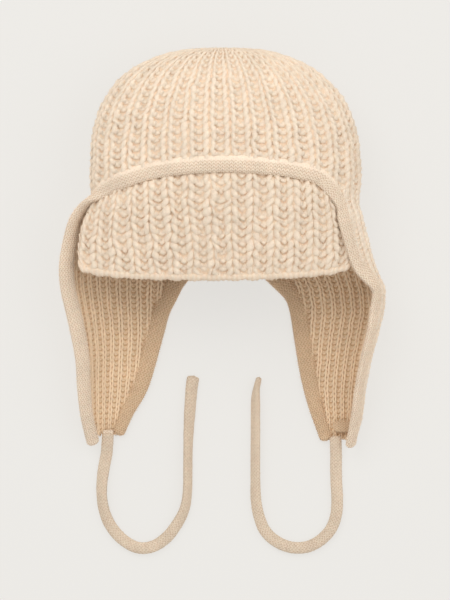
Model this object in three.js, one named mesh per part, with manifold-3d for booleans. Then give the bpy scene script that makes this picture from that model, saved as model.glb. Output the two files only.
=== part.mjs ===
// A chunky rib-knit winter hat with a visor, two ear flaps and two flat ties, lying on its back.
// Millimetres. +Z is up from the surface, +Y points from the ear flaps to the top of the head,
// +X is to the right when the hat is seen from above. The origin is under the middle of the hat.
import * as THREE from "three";
import { mergeVertices } from "three/addons/utils/BufferGeometryUtils.js";
import Module from "manifold-3d";

const wasm = await Module();
wasm.setup();

// Driving sizes of the crown, at the middle of its wall
const CROWN = {
  centreX: 2.4,
  poleX: -0.6,
  halfWidth: 116.2,
  height: 104,
  poleY: 176.5,
  poleZ: 47,
  domeLength: 103,
  squareness: 2.38,
  floorPress: 1.24,
  wall: 5,
  ribs: 30,
  ribHeight: 1.9,
  ribShift: -4.5,
  restZ: 2.9,
};

// One rib of chunky knit across its pitch: a narrow channel, then a broad rounded rib
const RIB_PROFILE = [
  { at: 0, lift: 0 },
  { at: 0.2, lift: 0.78 },
  { at: 0.5, lift: 1 },
  { at: 0.8, lift: 0.78 },
];

// Where the crown ends, by the angle around it: 0 is the middle of the brow, 180 the nape
const CROWN_RIM = [
  { angle: -180, y: -10 },
  { angle: -166, y: -12 },
  { angle: -158, y: -20 },
  { angle: -145, y: -2 },
  { angle: -125, y: 23 },
  { angle: -90, y: 43 },
  { angle: -76, y: 48 },
  { angle: -55, y: 58 },
  { angle: -30, y: 69 },
  { angle: 0, y: 73.5 },
  { angle: 28, y: 69.5 },
  { angle: 44, y: 63 },
  { angle: 54, y: 54 },
  { angle: 62, y: 46 },
  { angle: 90, y: 42 },
  { angle: 125, y: 23 },
  { angle: 145, y: -2 },
  { angle: 158, y: -20 },
  { angle: 166, y: -12 },
  { angle: 180, y: -10 },
];

// Sections across each ear flap, from the band on its back edge over the floor and up to the band on its
// front edge. x is measured outwards; back, floor, side and front steer one cubic curve.
const LEFT_FLAP = {
  outwards: -1,
  backAngle: 158,
  frontAngle: 78,
  wall: 4,
  tipY: -169,
  bandFacesUp: 0.9,
  sections: [
    { y: 60, backX: 42, floorX: 112, sideX: 128, sideZ: 30, frontX: 127, frontZ: 62 },
    { y: 36, backX: 42, floorX: 112, sideX: 128, sideZ: 30, frontX: 128, frontZ: 60 },
    { y: 10, backX: 42, floorX: 110, sideX: 130, sideZ: 22, frontX: 134.5, frontZ: 54 },
    { y: -15, backX: 38, floorX: 106, sideX: 128, sideZ: 15, frontX: 138.5, frontZ: 48 },
    { y: -35, backX: 45, floorX: 104, sideX: 126, sideZ: 12, frontX: 137.5, frontZ: 44 },
    { y: -55, backX: 55, floorX: 102, sideX: 121, sideZ: 11, frontX: 133, frontZ: 40 },
    { y: -76, backX: 61, floorX: 100, sideX: 117, sideZ: 10, frontX: 128.5, frontZ: 36 },
    { y: -98, backX: 67, floorX: 100, sideX: 115, sideZ: 9, frontX: 125, frontZ: 32 },
    { y: -125, backX: 75, floorX: 100, sideX: 114, sideZ: 7, frontX: 123.8, frontZ: 26 },
    { y: -152, backX: 89, floorX: 101, sideX: 111, sideZ: 5, frontX: 121, frontZ: 18 },
    { y: -176, backX: 98, floorX: 103, sideX: 109, sideZ: 4, frontX: 115.5, frontZ: 9 },
  ],
};
const RIGHT_FLAP = {
  outwards: 1,
  backAngle: 158,
  frontAngle: 60,
  wall: 4,
  tipY: -172,
  bandFacesUp: 0.2,
  sections: [
    { y: 60, backX: 45, floorX: 115, sideX: 140, sideZ: 52, frontX: 103, frontZ: 82 },
    { y: 36, backX: 45, floorX: 115, sideX: 140, sideZ: 52, frontX: 105, frontZ: 80 },
    { y: 10, backX: 45, floorX: 118, sideX: 147, sideZ: 45, frontX: 111, frontZ: 74 },
    { y: -15, backX: 40, floorX: 120, sideX: 155, sideZ: 36, frontX: 120, frontZ: 66 },
    { y: -25, backX: 50, floorX: 121, sideX: 156, sideZ: 30, frontX: 127.5, frontZ: 60.5 },
    { y: -35, backX: 58.5, floorX: 122, sideX: 157, sideZ: 25, frontX: 135.5, frontZ: 55 },
    { y: -45, backX: 64.5, floorX: 123, sideX: 157, sideZ: 22, frontX: 135.5, frontZ: 52.5 },
    { y: -55, backX: 67.5, floorX: 124, sideX: 157, sideZ: 20, frontX: 134.5, frontZ: 50 },
    { y: -76, backX: 71, floorX: 122, sideX: 149, sideZ: 17, frontX: 131, frontZ: 46 },
    { y: -98, backX: 74.5, floorX: 118, sideX: 142, sideZ: 15, frontX: 126, frontZ: 40 },
    { y: -125, backX: 79.5, floorX: 114, sideX: 136, sideZ: 12, frontX: 121, frontZ: 34 },
    { y: -152, backX: 86.5, floorX: 112, sideX: 132, sideZ: 8, frontX: 118, frontZ: 24 },
    { y: -176, backX: 95, floorX: 108, sideX: 122, sideZ: 6, frontX: 114, frontZ: 13 },
  ],
};
const FLAP = { seamGap: 0.8, seamBlend: 16, ribPitch: 7.6, ribHeight: 0.6, rows: 9 };

// Stockinette bands that bind the front and the back edge of the hat
const BAND = {
  halfWidth: 8,
  tipHalfWidth: 6,
  halfThickness: 3.5,
  sides: 10,
  step: 12,
  clearance: 0.35,
  cutDepth: 7,
  frontEndY: { left: -172, right: -174 },
  backEndY: { left: -163, right: -168 },
};

// The visor: a panel of chunky rib that hangs from the brow band
const VISOR = {
  wall: 6,
  ribs: 14,
  ribHeight: 1.7,
  rows: 5,
  topGap: 8.8,
  topAngleLeft: -73,
  topAngleRight: 58,
  bottomLeft: { x: -127, y: -13, z: 58 },
  bottomRight: { x: 112, y: -12, z: 65 },
  bottomSag: 14,
  cornerRound: 0.3,
  bottomArch: 20,
  crownOfPanel: 4,
  sideBowLeft: 5,
  sideBowRight: 4,
};

// Flat knitted ties: routes on the surface, from the tip of a flap to the free end
const TIE = { width: 11.8, thickness: 5.6, sides: 8, steps: 32, clearance: 0.3 };
const LEFT_TIE_ROUTE = [
  { x: -103.5, y: -173.6, lift: 3.3, tilt: 0 },
  { x: -104.2, y: -183, lift: 1.3, tilt: 0 },
  { x: -106.5, y: -195, lift: 0, tilt: 10 },
  { x: -108.3, y: -208, lift: 0, tilt: 28 },
  { x: -108.6, y: -220, lift: 0, tilt: 35 },
  { x: -106.5, y: -234, lift: 0, tilt: 28 },
  { x: -101.5, y: -246.5, lift: 0, tilt: 15 },
  { x: -91.5, y: -259, lift: 0, tilt: 0 },
  { x: -77, y: -267.5, lift: 0, tilt: 0 },
  { x: -64, y: -267, lift: 0, tilt: 0 },
  { x: -51, y: -259, lift: 0, tilt: 8 },
  { x: -41.5, y: -247, lift: 0, tilt: 25 },
  { x: -34.4, y: -233, lift: 0, tilt: 40 },
  { x: -31.9, y: -218, lift: 0, tilt: 50 },
  { x: -31.5, y: -200, lift: 0, tilt: 52 },
  { x: -31.3, y: -180, lift: 0, tilt: 50 },
  { x: -30.6, y: -160, lift: 0, tilt: 38 },
  { x: -29.4, y: -141, lift: 0, tilt: 20 },
  { x: -27.8, y: -122, lift: 0, tilt: 5 },
  { x: -26.8, y: -116, lift: 0, tilt: 0 },
];
const RIGHT_TIE_ROUTE = [
  { x: 101, y: -176.4, lift: 3.6, tilt: 0 },
  { x: 101.3, y: -185, lift: 1.5, tilt: 0 },
  { x: 101.2, y: -197, lift: 0, tilt: 0 },
  { x: 101.6, y: -210, lift: 0, tilt: 0 },
  { x: 102.3, y: -223, lift: 0, tilt: 8 },
  { x: 101.6, y: -237, lift: 0, tilt: 15 },
  { x: 97.3, y: -250, lift: 0, tilt: 8 },
  { x: 88, y: -260.5, lift: 0, tilt: 0 },
  { x: 76, y: -266.8, lift: 0, tilt: 0 },
  { x: 62, y: -267.5, lift: 0, tilt: 0 },
  { x: 48.5, y: -262.5, lift: 0, tilt: 0 },
  { x: 38, y: -253, lift: 0, tilt: -12 },
  { x: 32.4, y: -240, lift: 0, tilt: -25 },
  { x: 29.6, y: -225, lift: 0, tilt: -35 },
  { x: 29, y: -205, lift: 0, tilt: -44 },
  { x: 29, y: -185, lift: 0, tilt: -46 },
  { x: 29.1, y: -165, lift: 0, tilt: -48 },
  { x: 29.1, y: -145, lift: 0, tilt: -50 },
  { x: 29.6, y: -128, lift: 0, tilt: -54 },
  { x: 31.9, y: -117, lift: 0, tilt: -60 },
];

// The sewn spots that hold the ties to the inside of the flaps
const TACKS = [
  { name: "tie_tack_left", flap: LEFT_FLAP, from: 0.2, to: 0.62, topY: -162, bottomY: -165.5 },
  { name: "tie_tack_right", flap: RIGHT_FLAP, from: 0.18, to: 0.6, topY: -154, bottomY: -164 },
];
const TACK = { thickness: 1.8, gap: 0.7, columns: 5, rows: 2 };

const WOOL = { chunky: 0xead5ba, rib: 0xd9bd9a, band: 0xe2c9a9, tie: 0xe3c7a6 };
const DEGREE = Math.PI / 180;

const mix = (a, b, t) => a + (b - a) * t;
const ease = (t) => t * t * (3 - 2 * t);
const clamp = (t, low, high) => Math.min(high, Math.max(low, t));

// A column of a table at a value of its key, on a smooth curve through the rows
function read(table, key, column, value) {
  const rising = table[1][key] > table[0][key];
  const rows = rising ? table : [...table].reverse();
  const at = clamp(value, rows[0][key], rows[rows.length - 1][key]);
  let i = 0;
  while (i < rows.length - 2 && rows[i + 1][key] < at) i++;
  const slope = (k) => {
    const before = rows[Math.max(k - 1, 0)];
    const after = rows[Math.min(k + 1, rows.length - 1)];
    return (after[column] - before[column]) / (after[key] - before[key]);
  };
  const width = rows[i + 1][key] - rows[i][key];
  const t = (at - rows[i][key]) / width;
  const [p, q] = [rows[i][column], rows[i + 1][column]];
  return (
    p * (1 + 2 * t) * (1 - t) ** 2 +
    slope(i) * width * t * (1 - t) ** 2 +
    q * t * t * (3 - 2 * t) +
    slope(i + 1) * width * t * t * (t - 1)
  );
}

// The crown's section across the head, at full size: x and z at an angle from the top
function crownSection(angle, share = 1) {
  const a = angle * DEGREE;
  const up = Math.cos(a);
  const rise = up > 0 ? CROWN.height - CROWN.poleZ : CROWN.poleZ * CROWN.floorPress;
  return {
    x: CROWN.centreX + CROWN.halfWidth * share * Math.sin(a),
    z: Math.max(CROWN.restZ, CROWN.poleZ + rise * share * up),
  };
}

// Turns a distance round the crown into an angle, so that the ribs are evenly wide
const ROUND = (() => {
  const steps = 720;
  const table = [{ angle: -180, far: 0 }];
  let last = crownSection(-180);
  for (let i = 1; i <= steps; i++) {
    const angle = -180 + (360 * i) / steps;
    const here = crownSection(angle);
    const far = table[i - 1].far + Math.hypot(here.x - last.x, here.z - last.z);
    table.push({ angle, far });
    last = here;
  }
  return table;
})();
const GIRTH = ROUND[ROUND.length - 1].far;
function angleAtDistance(distance) {
  const far = (((distance + GIRTH / 2) % GIRTH) + GIRTH) % GIRTH;
  let low = 0;
  let high = ROUND.length - 1;
  while (high - low > 1) {
    const middle = (low + high) >> 1;
    if (ROUND[middle].far <= far) low = middle;
    else high = middle;
  }
  const t = (far - ROUND[low].far) / (ROUND[high].far - ROUND[low].far);
  return mix(ROUND[low].angle, ROUND[high].angle, t);
}

const rimY = (angle) => read(CROWN_RIM, "angle", "y", angle);

// The middle of the crown's wall: angle round the head, and share from the pole (0) to the rim (1)
const DOME_SHARE = 0.64;
const CROWN_ROWS = {
  outer: [0, 0.06, 0.13, 0.2, 0.28, 0.36, 0.44, 0.53, 0.64, 0.82, 1],
  inner: [1, 0.75, 0.56, 0.4, 0.25, 0.12, 0],
};
function crownPoint(angle, share) {
  const domeEnd = CROWN.poleY - CROWN.domeLength;
  if (share < DOME_SHARE) {
    const turn = (share / DOME_SHARE) * 90 * DEGREE;
    const power = 2 / CROWN.squareness;
    const { x, z } = crownSection(angle, Math.sin(turn) ** power);
    const rise = Math.cos(turn) ** power;
    const lean = (CROWN.poleX - CROWN.centreX) * rise;
    return new THREE.Vector3(x + lean, domeEnd + CROWN.domeLength * rise, z);
  }
  const { x, z } = crownSection(angle);
  const t = (share - DOME_SHARE) / (1 - DOME_SHARE);
  return new THREE.Vector3(x, mix(domeEnd, rimY(angle), t), z);
}

// The middle of a flap's wall at a share across it (0 is the back edge, 1 the front edge)
function flapPoint(flap, across, y) {
  const angle = flap.outwards * mix(flap.backAngle, flap.frontAngle, across);
  const crown = crownSection(angle);
  const below = clamp((rimY(angle) - y) / FLAP.seamBlend, 0, 1);
  const get = (column) => read(flap.sections, "y", column, y);
  const corners = [
    [get("backX"), BAND.halfThickness + 0.1],
    [get("floorX"), 1.5],
    [get("sideX"), get("sideZ")],
    [get("frontX"), get("frontZ")],
  ];
  const b = 1 - across;
  const weights = [b ** 3, 3 * b * b * across, 3 * b * across ** 2, across ** 3];
  const x = flap.outwards * corners.reduce((sum, c, i) => sum + c[0] * weights[i], 0);
  const z = corners.reduce((sum, c, i) => sum + c[1] * weights[i], 0);
  const w = ease(below);
  return new THREE.Vector3(mix(crown.x, x, w), y, Math.max(CROWN.restZ - 1, mix(crown.z, z, w)));
}

// Distances across a flap's section at one y, and the share across it at a distance from its middle
function flapRuler(flap, y) {
  const steps = 48;
  const far = [0];
  let last = flapPoint(flap, 0, y);
  for (let i = 1; i <= steps; i++) {
    const here = flapPoint(flap, i / steps, y);
    far.push(far[i - 1] + here.distanceTo(last));
    last = here;
  }
  const middle = far[steps / 2];
  return (distance) => {
    const target = distance + middle;
    if (target <= 0) return 0;
    if (target >= far[steps]) return 1;
    let i = 0;
    while (far[i + 1] < target) i++;
    return (i + (target - far[i]) / (far[i + 1] - far[i])) / steps;
  };
}

// The outward normal of a surface given as a function of two numbers
function normalOf(surface, a, b, stepA, stepB, sign) {
  const alongA = surface(a + stepA, b).sub(surface(a - stepA, b));
  const alongB = surface(a, b + stepB).sub(surface(a, b - stepB));
  return alongA.cross(alongB).normalize().multiplyScalar(sign);
}
const flapNormal = (flap, across, y) => {
  const at = clamp(across, 0.02, 0.98);
  return normalOf((a, b) => flapPoint(flap, a, b), at, y, 0.02, 1, -flap.outwards);
};
const crownNormal = (angle, share) =>
  normalOf(crownPoint, angle, clamp(share, 0.02, 0.995), 1, 0.005, -1);

// A closed solid through rings of points: each ring goes round the section, and the ends are closed flat
function skin(rings) {
  const count = rings[0].length;
  const points = rings.flat();
  const faces = [];
  const quad = (a, b, c, d) => faces.push([a, b, c], [a, c, d]);
  for (let r = 0; r < rings.length - 1; r++)
    for (let i = 0; i < count; i++) {
      const j = (i + 1) % count;
      quad(r * count + i, r * count + j, (r + 1) * count + j, (r + 1) * count + i);
    }
  const last = (rings.length - 1) * count;
  for (let i = 0; i < count / 2 - 1; i++) {
    quad(i, count - 1 - i, count - 2 - i, i + 1);
    quad(last + i, last + i + 1, last + count - 2 - i, last + count - 1 - i);
  }
  return solidFrom(points, faces);
}

// Merges shared corners, drops the triangles that closed up, and makes a manifold solid facing outwards
function solidFrom(points, faces) {
  const raw = new THREE.BufferGeometry().setFromPoints(points);
  raw.setIndex(faces.flat());
  const merged = mergeVertices(raw, 1e-3);
  const index = merged.index.array;
  const kept = [];
  for (let i = 0; i < index.length; i += 3) {
    const [a, b, c] = index.subarray(i, i + 3);
    if (a !== b && b !== c && a !== c) kept.push(a, b, c);
  }
  const make = (triVerts) =>
    new wasm.Manifold(
      new wasm.Mesh({
        numProp: 3,
        vertProperties: Float32Array.from(merged.attributes.position.array),
        triVerts: Uint32Array.from(triVerts),
      }),
    );
  const solid = make(kept);
  if (solid.volume() > 0) return solid;
  const turned = [];
  for (let i = 0; i < kept.length; i += 3) turned.push(kept[i], kept[i + 2], kept[i + 1]);
  return make(turned);
}

// The largest body of a solid, after a cut has left crumbs
function largest(solid) {
  return solid.decompose().sort((a, b) => b.volume() - a.volume())[0];
}

// The crown: a ribbed dome, open towards the face and the neck
function makeCrown() {
  const columns = [];
  for (let rib = 0; rib < CROWN.ribs; rib++)
    for (const { at, lift } of RIB_PROFILE) {
      const distance = ((rib + at) / CROWN.ribs) * GIRTH + CROWN.ribShift;
      columns.push({ angle: angleAtDistance(distance), lift });
    }
  const ring = (share, side) =>
    columns.map(({ angle, lift }) => {
      const point = crownPoint(angle, share);
      if (share === 0) return point.setZ(CROWN.poleZ).setY(point.y + (side * CROWN.wall) / 2);
      const ribs = ease(clamp(share / 0.3, 0, 1)) * CROWN.ribHeight;
      const out = side > 0 ? lift - 0.5 : 0.5 - lift;
      const away = side * (CROWN.wall / 2) + side * out * ribs;
      point.addScaledVector(crownNormal(angle, share), away);
      return point.setZ(Math.max(0, point.z));
    });
  const outside = CROWN_ROWS.outer.map((share) => ring(share, 1));
  const inside = CROWN_ROWS.inner.map((share) => ring(share, -1));
  return skin([...outside, ...inside]);
}

// An ear flap: a fine-ribbed panel whose ribs run down it and stop at the bands
function makeFlap(flap) {
  const half = FLAP.ribPitch / 2;
  const most = 20;
  const place = (column, row, side) => {
    let across = 0.5;
    let y = 0;
    const t = row / FLAP.rows;
    for (let pass = 0; pass < 6; pass++) {
      const angle = flap.outwards * mix(flap.backAngle, flap.frontAngle, across);
      y = mix(rimY(angle) - FLAP.seamGap, flap.tipY, t);
      across = flapRuler(flap, y)(column * half);
    }
    const free = across > 0 && across < 1;
    const ridge = free ? (column % 2 === 0 ? 0.5 : -0.5) * FLAP.ribHeight : 0;
    const point = flapPoint(flap, across, y);
    const away = side * (flap.wall / 2) + ridge;
    point.addScaledVector(flapNormal(flap, across, y), away);
    return point.setZ(Math.max(0.05, point.z));
  };
  const rings = [];
  for (let row = 0; row <= FLAP.rows; row++) {
    const outer = [];
    const inner = [];
    for (let column = -most; column <= most; column++) {
      outer.push(place(column, row, 1));
      inner.unshift(place(column, row, -1));
    }
    rings.push([...outer, ...inner]);
  }
  return skin(rings);
}

// The line of a band and the way it faces, as points with outward normals
function frontBandLine() {
  const points = [];
  const normals = [];
  const followFlap = (flap, rows) => {
    for (const y of rows) {
      points.push(flapPoint(flap, 1, y));
      const faceDown = new THREE.Vector3(0, 0, -flap.bandFacesUp * clamp((45 - y) / 30, 0, 1));
      normals.push(flapNormal(flap, 1, y).add(faceDown).normalize());
    }
  };
  const rows = [-150, -125, -98, -76, -55, -35, -15, 8, 26, 38];
  followFlap(LEFT_FLAP, [BAND.frontEndY.left, ...rows]);
  for (const angle of [-66, -50, -33, -16, 0, 16, 32, 46]) {
    points.push(crownPoint(angle, 1));
    normals.push(crownNormal(angle, 1));
  }
  followFlap(RIGHT_FLAP, [...rows].reverse().concat(BAND.frontEndY.right));
  return { points, normals };
}
function backBandLine() {
  const points = [];
  const normals = [];
  const followFlap = (flap, rows) => {
    for (const y of rows) {
      points.push(flapPoint(flap, 0, y).setZ(BAND.halfThickness + 0.1));
      normals.push(new THREE.Vector3(0, 0, -1));
    }
  };
  const rows = [-145, -125, -98, -76, -55, -42, -30];
  followFlap(LEFT_FLAP, [BAND.backEndY.left, ...rows]);
  for (const angle of [-166, -174, 180, 174, 166]) {
    points.push(crownPoint(angle, 1).setZ(BAND.halfThickness + 0.1));
    normals.push(new THREE.Vector3(0, 0, -1));
  }
  followFlap(RIGHT_FLAP, [...rows].reverse().concat(BAND.backEndY.right));
  return { points, normals };
}

// A soft oval band along a line. To cut its place out of what it binds it is grown by a clearance, and
// made deep as well, so that the cloth stops square at its edges
function makeBand(line, { grow = 0, deep = false } = {}) {
  const path = new THREE.CatmullRomCurve3(line.points);
  const facing = new THREE.CatmullRomCurve3(line.normals);
  path.arcLengthDivisions = 600;
  const steps = Math.round(path.getLength() / BAND.step);
  const rings = [];
  const depth = deep ? BAND.cutDepth : BAND.halfThickness + grow;
  const round = deep ? 0.35 : 0.85;
  const ringAt = (share, size, push) => {
    const t = path.getUtoTmapping(share);
    const tangent = path.getTangent(t);
    const centre = path.getPoint(t).addScaledVector(tangent, push);
    const wide = facing.getPoint(t).cross(tangent).normalize();
    const thick = tangent.clone().cross(wide).normalize();
    const toTip = clamp(Math.min(share, 1 - share) * 6, 0, 1);
    const half = (mix(BAND.tipHalfWidth, BAND.halfWidth, ease(toTip)) + grow) * size;
    const ring = [];
    for (let i = 0; i < BAND.sides; i++) {
      const a = ((i + 0.5) / BAND.sides) * 2 * Math.PI;
      const point = centre.clone();
      point.addScaledVector(wide, half * Math.sign(Math.cos(a)) * Math.abs(Math.cos(a)) ** round);
      point.addScaledVector(thick, depth * size * Math.sign(Math.sin(a)) * Math.abs(Math.sin(a)) ** round);
      ring.push(point);
    }
    return ring;
  };
  rings.push(ringAt(0, 0.6, -4 - grow));
  rings.push(ringAt(0, 0.9, -2.5 - grow));
  for (let i = 0; i <= steps; i++) rings.push(ringAt(i / steps, 1, 0));
  rings.push(ringAt(1, 0.9, 2.5 + grow));
  rings.push(ringAt(1, 0.6, 4 + grow));
  return skin(rings);
}

// The middle of the visor's wall: across from left (0) to right (1), down from the brow (0) to the free edge (1)
function visorPoint(across, down) {
  const top = crownPoint(mix(VISOR.topAngleLeft, VISOR.topAngleRight, across), 1);
  const arch = Math.sin(Math.PI * clamp(across, 0, 1));
  const { bottomLeft: left, bottomRight: right } = VISOR;
  const bottom = new THREE.Vector3(
    mix(left.x, right.x, across),
    mix(left.y, right.y, across) - VISOR.bottomSag * arch ** VISOR.cornerRound,
    mix(left.z, right.z, across) + VISOR.bottomArch * arch,
  );
  const point = top.lerp(bottom, down);
  const bow = Math.sin(Math.PI * clamp(down, 0, 1));
  const sideways = mix(-VISOR.sideBowLeft, VISOR.sideBowRight, across) * Math.abs(2 * across - 1);
  point.x += sideways * bow;
  point.z += VISOR.crownOfPanel * bow * arch;
  return point;
}
// The ribs stand half a pitch along, so that half a rib lies at each side edge
const VISOR_RIB_PROFILE = [
  { at: 0.32, lift: 1 },
  { at: 0.5, lift: 0 },
  { at: 0.68, lift: 1 },
  { at: 1, lift: 1.15 },
];
function makeVisor() {
  const columns = [{ across: 0, lift: 1 }];
  for (let rib = 0; rib < VISOR.ribs; rib++)
    for (const { at, lift } of VISOR_RIB_PROFILE)
      columns.push({ across: (rib + at) / VISOR.ribs, lift });
  const rings = [];
  for (let row = 0; row <= VISOR.rows; row++) {
    const outer = [];
    const inner = [];
    for (const { across, lift } of columns) {
      const drop = visorPoint(across, 1).distanceTo(visorPoint(across, 0));
      const down = mix(VISOR.topGap / drop, 1, row / VISOR.rows);
      const normal = normalOf(visorPoint, across, down, 0.01, 0.01, -1);
      const edge = row === VISOR.rows ? 0.7 : 1;
      const up = (VISOR.wall / 2 + (lift - 0.5) * VISOR.ribHeight) * edge;
      const under = (VISOR.wall / 2 + (0.5 - lift) * VISOR.ribHeight) * edge;
      outer.push(visorPoint(across, down).addScaledVector(normal, up));
      inner.unshift(visorPoint(across, down).addScaledVector(normal, -under));
    }
    rings.push([...outer, ...inner]);
  }
  return skin(rings);
}

// A curve whose extruded section keeps its flat side up, turned about the curve by the tilts of its table
class TiltedCurve extends THREE.CatmullRomCurve3 {
  constructor(points, tilts) {
    super(points);
    this.tilts = tilts;
    this.arcLengthDivisions = 600;
  }
  computeFrenetFrames(segments) {
    const frames = { tangents: [], normals: [], binormals: [] };
    for (let i = 0; i <= segments; i++) {
      const t = this.getUtoTmapping(i / segments);
      const place = t * (this.tilts.length - 1);
      const row = Math.min(Math.floor(place), this.tilts.length - 2);
      const tilt = mix(this.tilts[row], this.tilts[row + 1], ease(place - row));
      const tangent = this.getTangent(t);
      const wide = new THREE.Vector3(0, 0, 1).cross(tangent).normalize();
      wide.applyAxisAngle(tangent, tilt * DEGREE);
      frames.tangents.push(tangent);
      frames.normals.push(wide);
      frames.binormals.push(tangent.clone().cross(wide).normalize());
    }
    return frames;
  }
}

// A tie: a flat tube along its route, lying on the surface whichever way it is turned
function tieGeometry(route) {
  const wide = TIE.width / 2;
  const thin = TIE.thickness / 2;
  const points = route.map(({ x, y, lift, tilt }) => {
    const stand = Math.hypot(wide * Math.sin(tilt * DEGREE), thin * Math.cos(tilt * DEGREE));
    return new THREE.Vector3(x, y, TIE.clearance + stand + lift);
  });
  const shape = new THREE.Shape();
  for (let i = 0; i < TIE.sides; i++) {
    const a = ((i + 0.5) / TIE.sides) * 2 * Math.PI;
    if (i === 0) shape.moveTo(wide * Math.cos(a), thin * Math.sin(a));
    else shape.lineTo(wide * Math.cos(a), thin * Math.sin(a));
  }
  shape.closePath();
  return new THREE.ExtrudeGeometry(shape, {
    extrudePath: new TiltedCurve(points, route.map((row) => row.tilt)),
    steps: TIE.steps,
    bevelEnabled: false,
  });
}

// A sewn spot: a small patch that follows the inside of a flap
function makeTack({ flap, from, to, topY, bottomY }) {
  const rings = [];
  for (let row = 0; row <= TACK.rows; row++) {
    const y = mix(topY, bottomY, row / TACK.rows);
    const near = [];
    const far = [];
    for (let column = 0; column <= TACK.columns; column++) {
      const across = mix(from, to, column / TACK.columns);
      const inwards = flapNormal(flap, across, y).negate();
      const lift = flap.wall / 2 + FLAP.ribHeight / 2 + TACK.gap;
      near.push(flapPoint(flap, across, y).addScaledVector(inwards, lift));
      far.unshift(flapPoint(flap, across, y).addScaledVector(inwards, lift + TACK.thickness));
    }
    rings.push([...near, ...far]);
  }
  return skin(rings);
}

// A three.js geometry from a manifold solid
function geometryOf(solid) {
  const mesh = solid.getMesh();
  const geometry = new THREE.BufferGeometry();
  const positions = new THREE.BufferAttribute(mesh.vertProperties, 3);
  geometry.setAttribute("position", positions);
  geometry.setIndex(new THREE.BufferAttribute(mesh.triVerts, 1));
  geometry.computeVertexNormals();
  return geometry;
}

function addPiece(group, name, geometry, colour) {
  const material = new THREE.MeshStandardMaterial({ color: colour, roughness: 0.95, metalness: 0 });
  const mesh = new THREE.Mesh(geometry, material);
  mesh.name = name;
  group.add(mesh);
}

const hat = new THREE.Group();
const frontLine = frontBandLine();
const backLine = backBandLine();
const cutters = [frontLine, backLine].flatMap((line) => [
  makeBand(line, { grow: BAND.clearance, deep: true }),
  makeBand(line, { grow: BAND.clearance }),
]);
const bound = (solid) => largest(cutters.reduce((left, cutter) => left.subtract(cutter), solid));

addPiece(hat, "crown", geometryOf(bound(makeCrown())), WOOL.chunky);
addPiece(hat, "visor", geometryOf(bound(makeVisor())), WOOL.chunky);
addPiece(hat, "ear_flap_left", geometryOf(bound(makeFlap(LEFT_FLAP))), WOOL.rib);
addPiece(hat, "ear_flap_right", geometryOf(bound(makeFlap(RIGHT_FLAP))), WOOL.rib);
addPiece(hat, "front_band", geometryOf(makeBand(frontLine)), WOOL.band);
addPiece(hat, "back_band", geometryOf(makeBand(backLine)), WOOL.band);
addPiece(hat, "tie_left", tieGeometry(LEFT_TIE_ROUTE), WOOL.tie);
addPiece(hat, "tie_right", tieGeometry(RIGHT_TIE_ROUTE), WOOL.tie);
for (const tack of TACKS) addPiece(hat, tack.name, geometryOf(makeTack(tack)), WOOL.band);

export default hat;
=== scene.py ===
"""A chunky rib-knit winter hat with a visor, ear flaps and flat ties, knitted loop by loop on its frame.

Sizes in the tables are millimetres in the frame of the CAD model: +Z up from the surface, +Y to the top of
the crown. Ribbed cloth is knitted flat from one loop that is copied, laid on its surface and cut at its
outline. The bands and the ties are tubes of stockinette.
"""

import math
from contextlib import contextmanager

import bpy
import numpy as np
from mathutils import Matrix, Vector


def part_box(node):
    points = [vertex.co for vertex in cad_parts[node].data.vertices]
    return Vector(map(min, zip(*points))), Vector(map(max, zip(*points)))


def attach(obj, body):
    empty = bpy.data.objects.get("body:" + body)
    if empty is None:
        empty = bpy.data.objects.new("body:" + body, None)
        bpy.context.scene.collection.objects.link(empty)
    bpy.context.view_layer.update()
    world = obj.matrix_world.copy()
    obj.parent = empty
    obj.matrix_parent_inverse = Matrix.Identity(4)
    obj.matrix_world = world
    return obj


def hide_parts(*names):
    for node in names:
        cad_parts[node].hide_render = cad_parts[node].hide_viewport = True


bl_info = {
    "name": "Knitted trapper hat",
    "version": (1, 0, 0),
    "blender": (4, 5, 0),
    "location": "View3D > Sidebar > Hat",
    "description": "Knits a winter hat with a visor, ear flaps and ties around its CAD frame",
    "category": "Add Mesh",
}

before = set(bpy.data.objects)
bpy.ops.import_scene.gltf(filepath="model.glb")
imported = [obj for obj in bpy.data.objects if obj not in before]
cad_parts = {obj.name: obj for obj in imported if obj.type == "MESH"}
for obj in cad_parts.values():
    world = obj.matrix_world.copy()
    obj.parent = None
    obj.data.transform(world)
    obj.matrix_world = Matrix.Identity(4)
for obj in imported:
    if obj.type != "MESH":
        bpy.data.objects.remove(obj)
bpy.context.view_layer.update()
MM = 0.001

CROWN = {
    "centre_x": 2.4,
    "pole_x": -0.6,
    "half_width": 116.2,
    "height": 104,
    "pole_y": 176.5,
    "pole_z": 47,
    "dome_length": 103,
    "squareness": 2.38,
    "floor_press": 1.24,
    "ribs": 30,
    "rib_shift": -4.5,
    "rest_z": 2.9,
}
DOME_END = CROWN["pole_y"] - CROWN["dome_length"]

# Where the crown ends, by the angle around it: 0 is the middle of the brow, 180 the nape
RIM_COLUMNS = ("angle", "y")
RIM_ROWS = [
    (-180, -10),
    (-166, -12),
    (-158, -20),
    (-145, -2),
    (-125, 23),
    (-90, 43),
    (-76, 48),
    (-55, 58),
    (-30, 69),
    (0, 73.5),
    (28, 69.5),
    (44, 63),
    (54, 54),
    (62, 46),
    (90, 42),
    (125, 23),
    (145, -2),
    (158, -20),
    (166, -12),
    (180, -10),
]
RIM = [dict(zip(RIM_COLUMNS, row)) for row in RIM_ROWS]

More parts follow.
